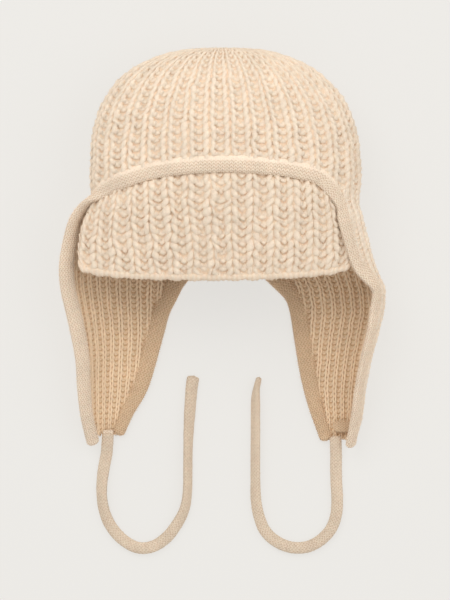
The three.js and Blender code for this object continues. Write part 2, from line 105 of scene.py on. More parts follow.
# Sections across each ear flap, x outwards, as in the CAD model
SECTION_COLUMNS = ("y", "back_x", "floor_x", "side_x", "side_z", "front_x", "front_z")
LEFT_FLAP = {
    "outwards": -1,
    "back_angle": 158,
    "front_angle": 78,
    "tip_y": -169,
    "band_faces_up": 0.9,
    "sections": [
        (60, 42, 112, 128, 30, 127, 62),
        (36, 42, 112, 128, 30, 128, 60),
        (10, 42, 110, 130, 22, 134.5, 54),
        (-15, 38, 106, 128, 15, 138.5, 48),
        (-35, 45, 104, 126, 12, 137.5, 44),
        (-55, 55, 102, 121, 11, 133, 40),
        (-76, 61, 100, 117, 10, 128.5, 36),
        (-98, 67, 100, 115, 9, 125, 32),
        (-125, 75, 100, 114, 7, 123.8, 26),
        (-152, 89, 101, 111, 5, 121, 18),
        (-176, 98, 103, 109, 4, 115.5, 9),
    ],
}
RIGHT_FLAP = {
    "outwards": 1,
    "back_angle": 158,
    "front_angle": 60,
    "tip_y": -172,
    "band_faces_up": 0.2,
    "sections": [
        (60, 45, 115, 140, 52, 103, 82),
        (36, 45, 115, 140, 52, 105, 80),
        (10, 45, 118, 147, 45, 111, 74),
        (-15, 40, 120, 155, 36, 120, 66),
        (-25, 50, 121, 156, 30, 127.5, 60.5),
        (-35, 58.5, 122, 157, 25, 135.5, 55),
        (-45, 64.5, 123, 157, 22, 135.5, 52.5),
        (-55, 67.5, 124, 157, 20, 134.5, 50),
        (-76, 71, 122, 149, 17, 131, 46),
        (-98, 74.5, 118, 142, 15, 126, 40),
        (-125, 79.5, 114, 136, 12, 121, 34),
        (-152, 86.5, 112, 132, 8, 118, 24),
        (-176, 95, 108, 122, 6, 114, 13),
    ],
}
for flap in (LEFT_FLAP, RIGHT_FLAP):
    flap["sections"] = [dict(zip(SECTION_COLUMNS, row)) for row in flap["sections"]]

# Over how many millimetres a flap leaves the crown, how wide its knitting is before it is gathered in, and
# what is added to the pile on its outer face, so that its wool can tell the two faces apart and paint shade
# on the inner face only
SEAM_BLEND = 16
FLAP_WIDTH = 92
FLAP_RIBS = 16
OUTER_PILE = 6.0

# Nothing soft comes closer than this to the surface, and points nearer than this are one
LEAST_HEIGHT = 0.05
SAME_POINT = 0.00002

# What the wool of a fibre, and of cloth without plies, is shaded by
UNTWISTED = (1.0, 0.0, 0.0)
FIBRE_PILE = 4.0
FIBRE_STITCH = (0.3, 0.2, 0.0)

BAND = {
    "half_width": 8,
    "tip_half_width": 6,
    "half_thickness": 3.5,
    "front_end_y": {-1: -172, 1: -174},
    "back_end_y": {-1: -163, 1: -168},
    "front_ys": [-150, -125, -98, -76, -55, -35, -15, 8, 26, 38],
    "back_ys": [-145, -125, -98, -76, -55, -42, -30],
    "brow_angles": [-66, -50, -33, -16, 0, 16, 32, 46],
    "nape_angles": [-166, -174, 180, 174, 166],
}
BAND_REST_Z = BAND["half_thickness"] + 0.1

VISOR = {
    "ribs": 14,
    "top_angle_left": -73,
    "top_angle_right": 58,
    "bottom_left": (-127, -13, 58),
    "bottom_right": (112, -12, 65),
    "bottom_sag": 14,
    "corner_round": 0.3,
    "bottom_arch": 20,
    "crown_of_panel": 4,
    "side_bow_left": 5,
    "side_bow_right": 4,
    "knitted_length": 108,
    "past_sides": 6.0,
    "tuck_depth": 3.6,
    "tuck_from": 6,
    "tuck_over": 9,
    "roll_at_side": 1.0,
    "roll_at_edge": 1.5,
    "roll_radius": 3.2,
}

TIE_COLUMNS = ("x", "y", "lift", "tilt")
LEFT_TIE = [
    (-103.5, -173.6, 3.3, 0),
    (-104.2, -183, 1.3, 0),
    (-106.5, -195, 0, 10),
    (-108.3, -208, 0, 28),
    (-108.6, -220, 0, 35),
    (-106.5, -234, 0, 28),
    (-101.5, -246.5, 0, 15),
    (-91.5, -259, 0, 0),
    (-77, -267.5, 0, 0),
    (-64, -267, 0, 0),
    (-51, -259, 0, 8),
    (-41.5, -247, 0, 25),
    (-34.4, -233, 0, 40),
    (-31.9, -218, 0, 50),
    (-31.5, -200, 0, 52),
    (-31.3, -180, 0, 50),
    (-30.6, -160, 0, 38),
    (-29.4, -141, 0, 20),
    (-27.8, -122, 0, 5),
    (-26.8, -116, 0, 0),
]
RIGHT_TIE = [
    (101, -176.4, 3.6, 0),
    (101.3, -185, 1.5, 0),
    (101.2, -197, 0, 0),
    (101.6, -210, 0, 0),
    (102.3, -223, 0, 8),
    (101.6, -237, 0, 15),
    (97.3, -250, 0, 8),
    (88, -260.5, 0, 0),
    (76, -266.8, 0, 0),
    (62, -267.5, 0, 0),
    (48.5, -262.5, 0, 0),
    (38, -253, 0, -12),
    (32.4, -240, 0, -25),
    (29.6, -225, 0, -35),
    (29, -205, 0, -44),
    (29, -185, 0, -46),
    (29.1, -165, 0, -48),
    (29.1, -145, 0, -50),
    (29.6, -128, 0, -54),
    (31.9, -117, 0, -60),
]
TIE = {"width": 11.8, "thickness": 5.6, "clearance": 0.3, "sewn_on": 7}
TIE_PATH_STEP = 4

# Knitting gauges: the width of each column of stitches with its face (1 knit, -1 purl) and how far it stands
# proud, the height of a row, and the yarn
CHUNKY = {
    "columns": [(5.4, -1, -1.5), (12.6, 1, 0.8)],
    "row": 7.0,
    "loop": 0.68,
    "overlap": 0.19,
    "depth": 1.15,
    "yarn": 2.85,
    "steps": 9,
    "sides": 6,
}
FINE = {
    "columns": [(6.2, -1, -1.0), (3.3, 1, 0.6)],
    "row": 4.7,
    "loop": 0.76,
    "overlap": 0.2,
    "depth": 0.8,
    "yarn": 1.55,
    "steps": 9,
    "sides": 6,
}

# Where the crown's rows begin, in mm from the pole, and end, as y, the angles of rim that bands cover, how
# much of its relief the knitting keeps at the rim, and over how many millimetres it fades
CROWN_KNIT = {
    "first_row": 9.0,
    "last_row_y": -22,
    "brow_band": (-78, 50),
    "nape_band": 158,
    "open_relief": 0.45,
    "open_fade": 18,
    "banded_relief": 0.6,
    "banded_fade": 9,
}
# How far the inner layer rises and falls under the chunky ribs
INNER_WAVE = 0.9

# The pad of yarn that closes the pole: half its size, how far it sinks in, and its pleats
POLE_PAD = {"half_x": 6.5, "half_y": 2.6, "half_z": 5.2, "sunk": 1.2, "pleats": 10, "pleat_depth": 0.16}

# The roll of yarn along the visor's free edge
EDGE_ROLL = {"past_side": 2.0, "radius": 3.3, "rib_swell": 0.45, "stitch": 4.5, "stitch_swell": 0.4}

# The sewn spots that hold the ties: how square they are, how much of their box they fill upwards, how far
# they rise outwards, and the size of their stitches
TACK = {"squareness": 0.5, "height_share": 0.7, "rise": 0.15, "stitch": (3.0, 2.2)}

# Plain stockinette: the width of a column and the height of a row of stitches, and its relief
BAND_STITCH = {"wale": 3.8, "course": 2.7, "relief": 0.9, "along_wales": False}
TIE_STITCH = {"wale": 3.4, "course": 3.0, "relief": 0.14, "along_wales": True}
STITCH_SLANT = 1.7

# Loose fibres: how many a piece carries, how long they are, and the pile from which they grow
CROWN_FIBRES = {"count": 16000, "length": 3.6, "above": 2.5}
VISOR_FIBRES = {"count": 12000, "length": 3.4, "above": 2.5}
FLAP_FIBRES = {"count": 14000, "length": 2.8, "above": 2.0}
BAND_FIBRES = {"count": 14000, "length": 2.4, "above": 0}
TIE_FIBRES = {"count": 2500, "length": 2.0, "above": 0}
TACK_FIBRES = {"count": 150, "length": 1.8, "above": 0}
FIBRE_HALF_WIDTH = 0.09

# Kinds of wool: the two colours in the panel, the wool's light colour and the painted shade between its
# loops or stitches, the pile at which each is reached, the yarn's plies and their turns in a loop, and the
# depth in metres of the bumps of its yarn and, in stockinette, of its stitches
WOOL_COLUMNS = ("light", "deep", "pile_low", "pile_high", "plies", "turns", "yarn_relief", "stitch_relief")
WOOLS = {
    "chunky": ("chunky_light", "chunky_shade", -1.5, 4.6, 2.0, 5.0, 0.0006, None),
    "fine": ("fine_inner_shaded", "fine_shade", 0.0, 2.7, 2.0, 4.0, 0.0003, None),
    "front_band": ("band_light", "band_shade", 0.15, 0.8, 1.0, 1.0, 0.0003, 0.0005),
    "back_band": ("back_shadowed_light", "back_shadowed_shade", 0.15, 0.8, 1.0, 1.0, 0.0003, 0.0005),
    "tie": ("tie_light", "tie_deep", 0.0, 0.7, 1.0, 1.0, 0.0003, 0.0003),
}

# The photograph's height, its scale, the middle of what it shows, and the height at which it is sharpest
PHOTO_PIXELS = 600
MM_PER_PIXEL = 0.89
PHOTO_MIDDLE = (0.0018, -0.0458)
PHOTO_PLANE = 0.03
SENSOR = 36
DAYLIGHT = (1.0, 0.99, 0.97)


def mix(a, b, t):
    return a + (b - a) * t


def ease(t):
    """A soft step from 0 to 1."""
    t = np.clip(t, 0, 1)
    return t * t * (3 - 2 * t)


def lengths_along(line):
    """The distance of each point of a line from its first."""
    return np.concatenate([[0], np.cumsum(np.linalg.norm(np.diff(line, axis=0), axis=1))])


def column(rows, key, name, value):
    """A column of a table at values of its key, on a smooth curve through the rows."""
    rows = sorted(rows, key=lambda row: row[key])
    keys = np.array([row[key] for row in rows], float)
    values = np.array([row[name] for row in rows], float)
    at = np.clip(value, keys[0], keys[-1])
    i = np.clip(np.searchsorted(keys, at, side="left") - 1, 0, len(keys) - 2)
    before = np.maximum(np.arange(len(keys)) - 1, 0)
    after = np.minimum(np.arange(len(keys)) + 1, len(keys) - 1)
    slopes = (values[after] - values[before]) / (keys[after] - keys[before])
    width = keys[i + 1] - keys[i]
    t = (at - keys[i]) / width
    return (
        values[i] * (1 + 2 * t) * (1 - t) ** 2
        + slopes[i] * width * t * (1 - t) ** 2
        + values[i + 1] * t * t * (3 - 2 * t)
        + slopes[i + 1] * width * t * t * (t - 1)
    )


def rim_y(angle):
    return column(RIM, "angle", "y", angle)


def crown_section(angle, share=1.0):
    """x and z of the crown's section across the head, at an angle from the top."""
    a = np.radians(angle)
    up = np.cos(a)
    rise = np.where(
        up > 0, CROWN["height"] - CROWN["pole_z"], CROWN["pole_z"] * CROWN["floor_press"]
    )
    x = CROWN["centre_x"] + CROWN["half_width"] * share * np.sin(a)
    return x, np.maximum(CROWN["rest_z"], CROWN["pole_z"] + rise * share * up)


ROUND_ANGLES = np.linspace(-180, 180, 721)
ROUND_X, ROUND_Z = crown_section(ROUND_ANGLES)
ROUND_FAR = np.concatenate([[0], np.cumsum(np.hypot(np.diff(ROUND_X), np.diff(ROUND_Z)))])
GIRTH = ROUND_FAR[-1]


def angle_at(distance):
    return np.interp((np.asarray(distance) + GIRTH / 2) % GIRTH, ROUND_FAR, ROUND_ANGLES)


def crown_place(angle, y):
    """The middle of the crown's wall at an angle round the head and a y."""
    power = 2 / CROWN["squareness"]
    rise = np.clip((y - DOME_END) / CROWN["dome_length"], 0, 1)
    turn = np.arccos(rise ** (1 / power))
    x, z = crown_section(angle, np.sin(turn) ** power)
    x = x + (CROWN["pole_x"] - CROWN["centre_x"]) * rise
    return np.stack(np.broadcast_arrays(x, y, z), -1)


def flap_place(flap, across, y):
    """The middle of a flap's wall at a share across it, from its back edge to its front edge."""
    angle = flap["outwards"] * mix(flap["back_angle"], flap["front_angle"], across)
    crown_x, crown_z = crown_section(angle)
    below = ease((rim_y(angle) - y) / SEAM_BLEND)

    def get(name):
        return column(flap["sections"], "y", name, y)

    b = 1 - across
    weights = [b**3, 3 * b * b * across, 3 * b * across**2, across**3]
    xs = [get("back_x"), get("floor_x"), get("side_x"), get("front_x")]
    zs = [BAND_REST_Z, 1.5, get("side_z"), get("front_z")]
    x = flap["outwards"] * sum(w * c for w, c in zip(weights, xs))
    z = sum(w * c for w, c in zip(weights, zs))
    z = np.maximum(CROWN["rest_z"] - 1, mix(crown_z, z, below))
    return np.stack(np.broadcast_arrays(mix(crown_x, x, below), y, z), -1)


def visor_place(across, down):
    """The middle of the visor's wall, across from the left and down from the brow."""
    angle = mix(VISOR["top_angle_left"], VISOR["top_angle_right"], across)
    top = crown_place(angle, rim_y(angle))
    arch = np.sin(np.pi * np.clip(across, 0, 1))
    left = np.array(VISOR["bottom_left"], float)
    right = np.array(VISOR["bottom_right"], float)
    bottom = mix(left, right, np.asarray(across)[..., None])
    bottom[..., 1] -= VISOR["bottom_sag"] * arch ** VISOR["corner_round"]
    bottom[..., 2] += VISOR["bottom_arch"] * arch
    place = mix(top, bottom, np.asarray(down)[..., None])
    bow = np.sin(np.pi * np.clip(down, 0, 1))
    sideways = mix(-VISOR["side_bow_left"], VISOR["side_bow_right"], across)
    place[..., 0] += sideways * np.abs(2 * across - 1) * bow
    place[..., 2] += VISOR["crown_of_panel"] * bow * arch
    return place


def unit(vectors):
    return vectors / np.maximum(np.linalg.norm(vectors, axis=-1, keepdims=True), 1e-9)


class Cloth:
    """A smooth surface to lay flat knitting on: places in mm over u, along its rows, and v, across them."""

    def __init__(self, us, vs, places, outwards):
        # For cloth that curls round at its borders: the two sides as u, the free edge as v, and the radius
        self.rolled = None
        self.us = us
        self.vs = vs
        self.places = places
        along_u = np.gradient(places, us, axis=0)
        along_v = np.gradient(places, vs, axis=1)
        self.normals = unit(np.cross(along_u, along_v)) * outwards
        self.stretch = np.linalg.norm(along_u, axis=-1)

    def sample(self, grid, u, v):
        i = np.clip(np.searchsorted(self.us, u) - 1, 0, len(self.us) - 2)
        j = np.clip(np.searchsorted(self.vs, v) - 1, 0, len(self.vs) - 2)
        a = np.clip((u - self.us[i]) / (self.us[i + 1] - self.us[i]), 0, 1)
        b = np.clip((v - self.vs[j]) / (self.vs[j + 1] - self.vs[j]), 0, 1)
        if grid.ndim == 3:
            a = a[:, None]
            b = b[:, None]
        near = mix(grid[i, j], grid[i + 1, j], a)
        far = mix(grid[i, j + 1], grid[i + 1, j + 1], a)
        return mix(near, far, b)

    def lay(self, flat, pull=0.6):
        """Flat points (u, v, height) on the surface. Where the cloth is gathered, its relief sinks too."""
        u, v, height = flat.T
        inner_u, inner_v = u, v
        if self.rolled:
            low, high, free_edge, radius = self.rolled
            inner_u = np.clip(u, low, high)
            inner_v = np.maximum(v, free_edge)
        gather = np.clip(self.sample(self.stretch, inner_u, inner_v), 0.15, 1) ** pull
        normal = unit(self.sample(self.normals, inner_u, inner_v))
        place = self.sample(self.places, inner_u, inner_v)
        if self.rolled:
            for over, key in ((u - inner_u, 0), (v - inner_v, 1)):
                along = unit(self.sample(np.gradient(self.places, axis=key), inner_u, inner_v))
                turn = np.clip(over / radius, -2.2, 2.2)[:, None]
                place = place + along * radius * np.sin(turn) - normal * radius * (1 - np.cos(turn))
                normal = normal * np.cos(turn) + along * np.sin(turn)
        place = place + normal * (height * gather)[:, None]
        place[:, 2] = np.maximum(place[:, 2], LEAST_HEIGHT)
        return place


def crown_cloth():
    """u goes round the head from its nape, v from the pole along the crown's middle and past the rim."""
    ys = DOME_END + CROWN["dome_length"] * np.cos(np.linspace(0.02, np.pi / 2, 70)) ** 0.9
    ys = np.concatenate([ys, np.linspace(DOME_END - 2, -40, 56)])
    middle = crown_place(np.zeros_like(ys), ys)
    vs = lengths_along(middle)
    us = np.linspace(0, GIRTH, 361)
    angles = angle_at(us - GIRTH / 2)
    angles[0] = -180
    angles[-1] = 180
    places = crown_place(angles[:, None], ys[None, :])
    return Cloth(us, vs, places, -1), ys


def flap_cloth(flap):
    """u is the distance across the flap from its middle, v the distance down from the crown."""
    ys = np.arange(64, -186, -2.0)
    across = np.linspace(0, 1, 81)
    us = np.arange(-76, 77, 1.6)
    places = np.zeros((len(us), len(ys), 3))
    shares = np.zeros((len(us), len(ys)))
    beyond_back = np.zeros((len(us), len(ys)))
    for j, y in enumerate(ys):
        section = flap_place(flap, across, np.full_like(across, y))
        far = lengths_along(section)
        far -= far[len(far) // 2]
        gather = np.clip(FLAP_WIDTH / far[-1] / 2, 0.7, 4) ** 0.5
        far *= gather
        shares[:, j] = np.interp(us, far, across, left=-0.01, right=1.01)
        share = np.clip(shares[:, j], 0, 1)
        places[:, j] = flap_place(flap, share, np.full_like(share, y))
        first = flap_place(flap, np.array([0.0, 0.02]), np.array([y, y]))
        last = flap_place(flap, np.array([0.98, 1.0]), np.array([y, y]))
        beyond_back[:, j] = np.maximum(far[0] - us, 0) / gather
        places[:, j] -= unit(first[1] - first[0]) * beyond_back[:, j, None]
        beyond_front = np.maximum(us - far[-1], 0)[:, None] / gather
        places[:, j] += unit(last[1] - last[0]) * beyond_front
    vs = ys[0] - ys
    return Cloth(us, vs, places, flap["outwards"]), ys, shares, beyond_back


def visor_cloth():
    """u goes across the visor from its left side, v up from its free edge."""
    across = np.linspace(0, 1, 113)
    vs = np.arange(-2, 112, 2.0)
    columns = visor_place(across, np.ones_like(across)), visor_place(across, np.zeros_like(across))
    length = np.linalg.norm(columns[0] - columns[1], axis=1)
    down = 1 - vs[None, :] / length[:, None]
    places = visor_place(np.broadcast_to(across[:, None], down.shape), down)
    us = across * VISOR["ribs"] * rib_width(CHUNKY)
    cloth = Cloth(us, vs, places, 1)
    side = VISOR["roll_at_side"]
    cloth.rolled = (side, us[-1] - side, VISOR["roll_at_edge"], VISOR["roll_radius"])
    return cloth, length


class Curve:
    """A smooth curve through points, the centripetal Catmull-Rom curve of the CAD model."""

    def __init__(self, points):
        self.points = np.array(points, float)
        first = 2 * self.points[0] - self.points[1]
        last = 2 * self.points[-1] - self.points[-2]
        self.all = np.vstack([first, self.points, last])

    def at(self, t):
        t = np.clip(t, 0, 1) * (len(self.points) - 1)
        i = np.minimum(t.astype(int), len(self.points) - 2)
        w = (t - i)[:, None]
        p0, p1, p2, p3 = (self.all[i + k] for k in range(4))
        d0, d1, d2 = (
            np.maximum(np.linalg.norm(b - a, axis=1, keepdims=True), 1e-8) ** 0.5
            for a, b in ((p0, p1), (p1, p2), (p2, p3))
        )
        t1 = ((p1 - p0) / d0 - (p2 - p0) / (d0 + d1) + (p2 - p1) / d1) * d1
        t2 = ((p2 - p1) / d1 - (p3 - p1) / (d1 + d2) + (p3 - p2) / d2) * d1
        c2 = -3 * p1 + 3 * p2 - 2 * t1 - t2
        c3 = 2 * p1 - 2 * p2 + t1 + t2
        return p1 + t1 * w + c2 * w**2 + c3 * w**3

    def even(self, step):
        """Shares of the curve at even distances along it, and those distances."""
        t = np.linspace(0, 1, 2001)
        line = self.at(t)
        far = lengths_along(line)
        distances = np.linspace(0, far[-1], max(2, round(far[-1] / step) + 1))
        return np.interp(distances, far, t), distances


def flap_edge(flap, share, ys):
    """Places along an edge of a flap, and the way the cloth faces there."""
    share = np.full(len(ys), float(share))
    ys = np.array(ys, float)
    place = flap_place(flap, share, ys)
    inner = np.clip(share, 0.02, 0.98)
    over = flap_place(flap, inner + 0.02, ys) - flap_place(flap, inner - 0.02, ys)
    up = flap_place(flap, inner, ys + 1) - flap_place(flap, inner, ys - 1)
    return place, unit(np.cross(over, up)) * -flap["outwards"]


def crown_edge(angles):
    angles = np.array(angles, float)
    y = rim_y(angles)
    place = crown_place(angles, y)
    over = crown_place(angles + 1, y) - crown_place(angles - 1, y)
    down = np.array([0.0, -1.0, 0.0])
    return place, unit(np.cross(over, down)) * -1


def front_band_line():
    """From the left tip up the flap's front edge, over the brow and down to the right tip."""
    places = []
    normals = []
    for flap in (LEFT_FLAP, RIGHT_FLAP):
        ys = np.array([BAND["front_end_y"][flap["outwards"]], *BAND["front_ys"]], float)
        place, normal = flap_edge(flap, 1, ys)
        normal[:, 2] -= flap["band_faces_up"] * np.clip((45 - ys) / 30, 0, 1)
        if flap is RIGHT_FLAP:
            place = place[::-1]
            normal = normal[::-1]
        places.append(place)
        normals.append(unit(normal))
    brow, brow_normal = crown_edge(BAND["brow_angles"])
    line = np.vstack([places[0], brow, places[1]])
    return line, np.vstack([normals[0], brow_normal, normals[1]])


def back_band_line():
    """From the left tip along the flap's back edge, round the nape and back to the right tip."""
    places = []
    for flap in (LEFT_FLAP, RIGHT_FLAP):
        place = flap_edge(flap, 0, [BAND["back_end_y"][flap["outwards"]], *BAND["back_ys"]])[0]
        places.append(place if flap is LEFT_FLAP else place[::-1])
    nape = crown_edge(BAND["nape_angles"])[0]
    line = np.vstack([places[0], nape, places[1]])
    line[:, 2] = BAND_REST_Z
    return line, np.tile([0.0, 0.0, -1.0], (len(line), 1))


class Strip:
    """A flattened tube along a line: its cloth has u along the line and v round its section."""

    def __init__(self, centres, wides, distances, half_wide, half_thick, squareness, rounding):
        angles = np.linspace(0, 2 * np.pi, 97)
        c = np.sign(np.cos(angles)) * np.abs(np.cos(angles)) ** squareness
        s = np.sign(np.sin(angles)) * np.abs(np.sin(angles)) ** squareness
        tangents = unit(np.gradient(centres, distances, axis=0))
        wides = unit(wides - tangents * np.sum(wides * tangents, axis=1, keepdims=True))
        thicks = np.cross(tangents, wides)
        length = distances[-1]
        steps = np.array([0.0, 0.1, 0.3, 0.55, 0.8])
        before = -rounding * (1 - steps)
        after = length + rounding * (1 - steps[::-1])
        us = np.concatenate([before, distances, after])
        start = centres[0] + tangents[0] * before[:, None]
        end = centres[-1] + tangents[-1] * (after - length)[:, None]
        centres = np.vstack([start, centres, end])
        ends = (len(before), len(after))
        wides = np.vstack([np.tile(wides[0], (ends[0], 1)), wides, np.tile(wides[-1], (ends[1], 1))])
        thicks = np.vstack([np.tile(thicks[0], (ends[0], 1)), thicks, np.tile(thicks[-1], (ends[1], 1))])
        over = np.maximum(np.maximum(-us, us - length), 0) / rounding
        size = np.sqrt(np.maximum(1 - over**2, 0.0))
        half_wide = np.interp(us, distances, half_wide)
        section = c * half_wide.mean(), s * half_thick
        steps = np.hypot(np.diff(section[0]), np.diff(section[1]))
        self.vs = np.concatenate([[0], np.cumsum(steps)])
        wide_part = (half_wide * size)[:, None, None] * c[None, :, None] * wides[:, None]
        thick_part = (half_thick * size)[:, None, None] * s[None, :, None] * thicks[:, None]
        places = centres[:, None] + wide_part + thick_part
        self.cloth = Cloth(us, self.vs, places, 1)
        self.cloth.stretch[:] = 1
        away = np.sum(self.cloth.normals * (places - centres[:, None]), axis=-1)
        if away.mean() < 0:
            self.cloth.normals *= -1
        self.us = us
        self.centres = centres


def band_strip(points, normals):
    """The flattened tube of an edge band, narrower towards both of its tips."""
    path = Curve(points)
    facing = Curve(normals)
    t, distances = path.even(2.5)
    share = distances / distances[-1]
    to_tip = ease(np.minimum(share, 1 - share) * 6)
    half = mix(BAND["tip_half_width"], BAND["half_width"], to_tip)
    centres = path.at(t)
    tangents = unit(np.gradient(centres, distances, axis=0))
    wides = unit(np.cross(facing.at(t), tangents))
    return Strip(centres, wides, distances, half, BAND["half_thickness"], squareness=0.95, rounding=4)


def tie_line(route):
    """The tie's middle line, at even distances, with the way its width points."""
    wide = TIE["width"] / 2
    thin = TIE["thickness"] / 2
    rows = [dict(zip(TIE_COLUMNS, row)) for row in route]
    points = []
    for row in rows:
        tilt = math.radians(row["tilt"])
        stand = math.hypot(wide * math.sin(tilt), thin * math.cos(tilt))
        points.append((row["x"], row["y"], TIE["clearance"] + stand + row["lift"]))
    toward = np.array(points[0]) - np.array(points[1])
    points.insert(0, tuple(points[0] + toward / np.linalg.norm(toward) * TIE["sewn_on"]))
    rows.insert(0, rows[0])
    path = Curve(points)
    t, distances = path.even(2.0)
    place = t * (len(rows) - 1)
    i = np.minimum(place.astype(int), len(rows) - 2)
    tilts = np.array([row["tilt"] for row in rows], float)
    tilt = np.radians(mix(tilts[i], tilts[i + 1], ease(place - i)))
    centres = path.at(t)
    tangents = unit(np.gradient(centres, distances, axis=0))
    flat = unit(np.cross([0.0, 0.0, 1.0], tangents))
    up = np.cross(tangents, flat)
    wides = flat * np.cos(tilt)[:, None] + up * np.sin(tilt)[:, None]
    return centres, wides, distances


def deselect():
    if bpy.context.object and bpy.context.object.mode != "OBJECT":
        bpy.ops.object.mode_set(mode="OBJECT")
    bpy.ops.object.select_all(action="DESELECT")


def only(obj):
    deselect()
    obj.select_set(True)
    bpy.context.view_layer.objects.active = obj


def coordinates(obj):
    flat = np.empty(len(obj.data.vertices) * 3)
    obj.data.vertices.foreach_get("co", flat)
    return flat.reshape(-1, 3)


def move_to(obj, places, scale=MM):
    obj.data.vertices.foreach_set("co", (np.asarray(places) * scale).ravel())
    obj.data.update()


def add_attribute(obj, name, values):
    values = np.asarray(values, float)
    kind = "FLOAT" if values.ndim == 1 else "FLOAT_VECTOR"
    attribute = obj.data.attributes.get(name) or obj.data.attributes.new(name, kind, "POINT")
    attribute.data.foreach_set("value" if values.ndim == 1 else "vector", values.ravel())


def read_attribute(obj, name):
    attribute = obj.data.attributes[name]
    if attribute.data_type == "FLOAT":
        values = np.empty(len(attribute.data))
        attribute.data.foreach_get("value", values)
        return values
    values = np.empty(len(attribute.data) * 3)
    attribute.data.foreach_get("vector", values)
    return values.reshape(-1, 3)


def add_even_attribute(obj, name, value):
    """Gives every vertex of a mesh the same value."""
    count = len(obj.data.vertices)
    add_attribute(obj, name, np.full(count, value) if np.isscalar(value) else np.tile(value, (count, 1)))


@contextmanager
def editing(obj):
    """Edit mode on one object, for the operators inside."""
    only(obj)
    bpy.ops.object.mode_set(mode="EDIT")
    yield
    bpy.ops.object.mode_set(mode="OBJECT")


def delete_where(obj, mask):
    """Deletes the vertices of a mask."""
    if mask.any():
        mesh = obj.data
        mesh.vertices.foreach_set("select", mask)
        mesh.edges.foreach_set("select", np.zeros(len(mesh.edges), bool))
        mesh.polygons.foreach_set("select", np.zeros(len(mesh.polygons), bool))
        with editing(obj):
            bpy.ops.mesh.select_mode(type="VERT")
            bpy.ops.mesh.delete(type="VERT")


def close_up(obj, threshold=SAME_POINT, outwards=True):
    """Merges the points of a mesh that lie together, and turns its faces outwards."""
    with editing(obj):
        bpy.ops.mesh.select_all(action="SELECT")
        bpy.ops.mesh.remove_doubles(threshold=threshold)
        if outwards:
            bpy.ops.mesh.normals_make_consistent(inside=False)


def new_grid(name, columns, rows):
    """A flat grid from -1 to 1, to be laid on a piece's surface, and its coordinates."""
    deselect()
    bpy.ops.mesh.primitive_grid_add(x_subdivisions=columns, y_subdivisions=rows, size=2)
    obj = bpy.context.object
    obj.name = name
    return obj, coordinates(obj)


def cut_away(obj, outside):
    """Deletes the vertices outside the outline, closes the yarn's ends and turns its faces outwards."""
    delete_where(obj, outside)
    with editing(obj):
        bpy.ops.mesh.select_mode(type="EDGE")
        bpy.ops.mesh.select_all(action="DESELECT")
        bpy.ops.mesh.select_non_manifold(
            use_wire=False, use_multi_face=False, use_non_contiguous=False, use_verts=False
        )
        bpy.ops.mesh.merge(type="COLLAPSE")
        bpy.ops.mesh.select_all(action="SELECT")
        bpy.ops.mesh.normals_make_consistent(inside=False)


def round_ball(name, segments, rings):
    """A closed ball of radius 1, wrapped from a grid so that its faces come in the same order each time."""
    obj, flat = new_grid(name, segments, rings)
    turn = np.pi * flat[:, 0]
    rise = np.pi / 2 * flat[:, 1]
    places = np.stack([np.cos(turn) * np.cos(rise), np.sin(turn) * np.cos(rise), np.sin(rise)], 1)
    move_to(obj, places, 1)
    close_up(obj, 0.001)
    return obj


def apply_modifier(obj, modifier):
    only(obj)
    bpy.ops.object.modifier_apply(modifier=modifier.name)


def repeat(obj, count, offset, merge=False):
    """Copies a mesh over and over, each copy one offset further, and can merge the ends that meet."""
    copies = obj.modifiers.new("copies", "ARRAY")
    copies.use_relative_offset = False
    copies.use_constant_offset = True
    copies.constant_offset_displace = offset
    copies.count = count
    copies.use_merge_vertices = merge
    copies.merge_threshold = 0.001
    apply_modifier(obj, copies)


def rib_width(gauge):
    return sum(stitches[0] for stitches in gauge["columns"])


def loop_line(gauge):
    """The yarn's middle line through one repeat of the rib: a loop for each column of stitches."""
    points = []
    radii = []
    x0 = 0.0
    steps = gauge["steps"]
    for width, face, proud in gauge["columns"]:
        t = np.linspace(-np.pi, np.pi, steps + 1)
        x = x0 + width / 2 + width * t / (2 * np.pi) + gauge["overlap"] * width * np.sin(2 * t)
        y = gauge["row"] * gauge["loop"] * np.cos(t)
        hold = np.where(np.abs(t) > np.pi / 2, np.sin(t) ** 2, 1)
        z = -face * gauge["depth"] * np.cos(2 * t) * hold
        z += proud * np.cos(np.pi * (x - x0 - width / 2) / width)
        points.append(np.stack([x, y, z], 1)[:-1])
        shown = np.sin(t) ** 2 if face > 0 else np.cos(t) ** 2
        radii.append((gauge["yarn"] * (0.86 + 0.2 * shown))[:-1])
        x0 += width
    points.append(points[0][:1] + [[x0, 0, 0]])
    radii.append(radii[0][:1])
    return np.vstack(points), np.concatenate(radii)


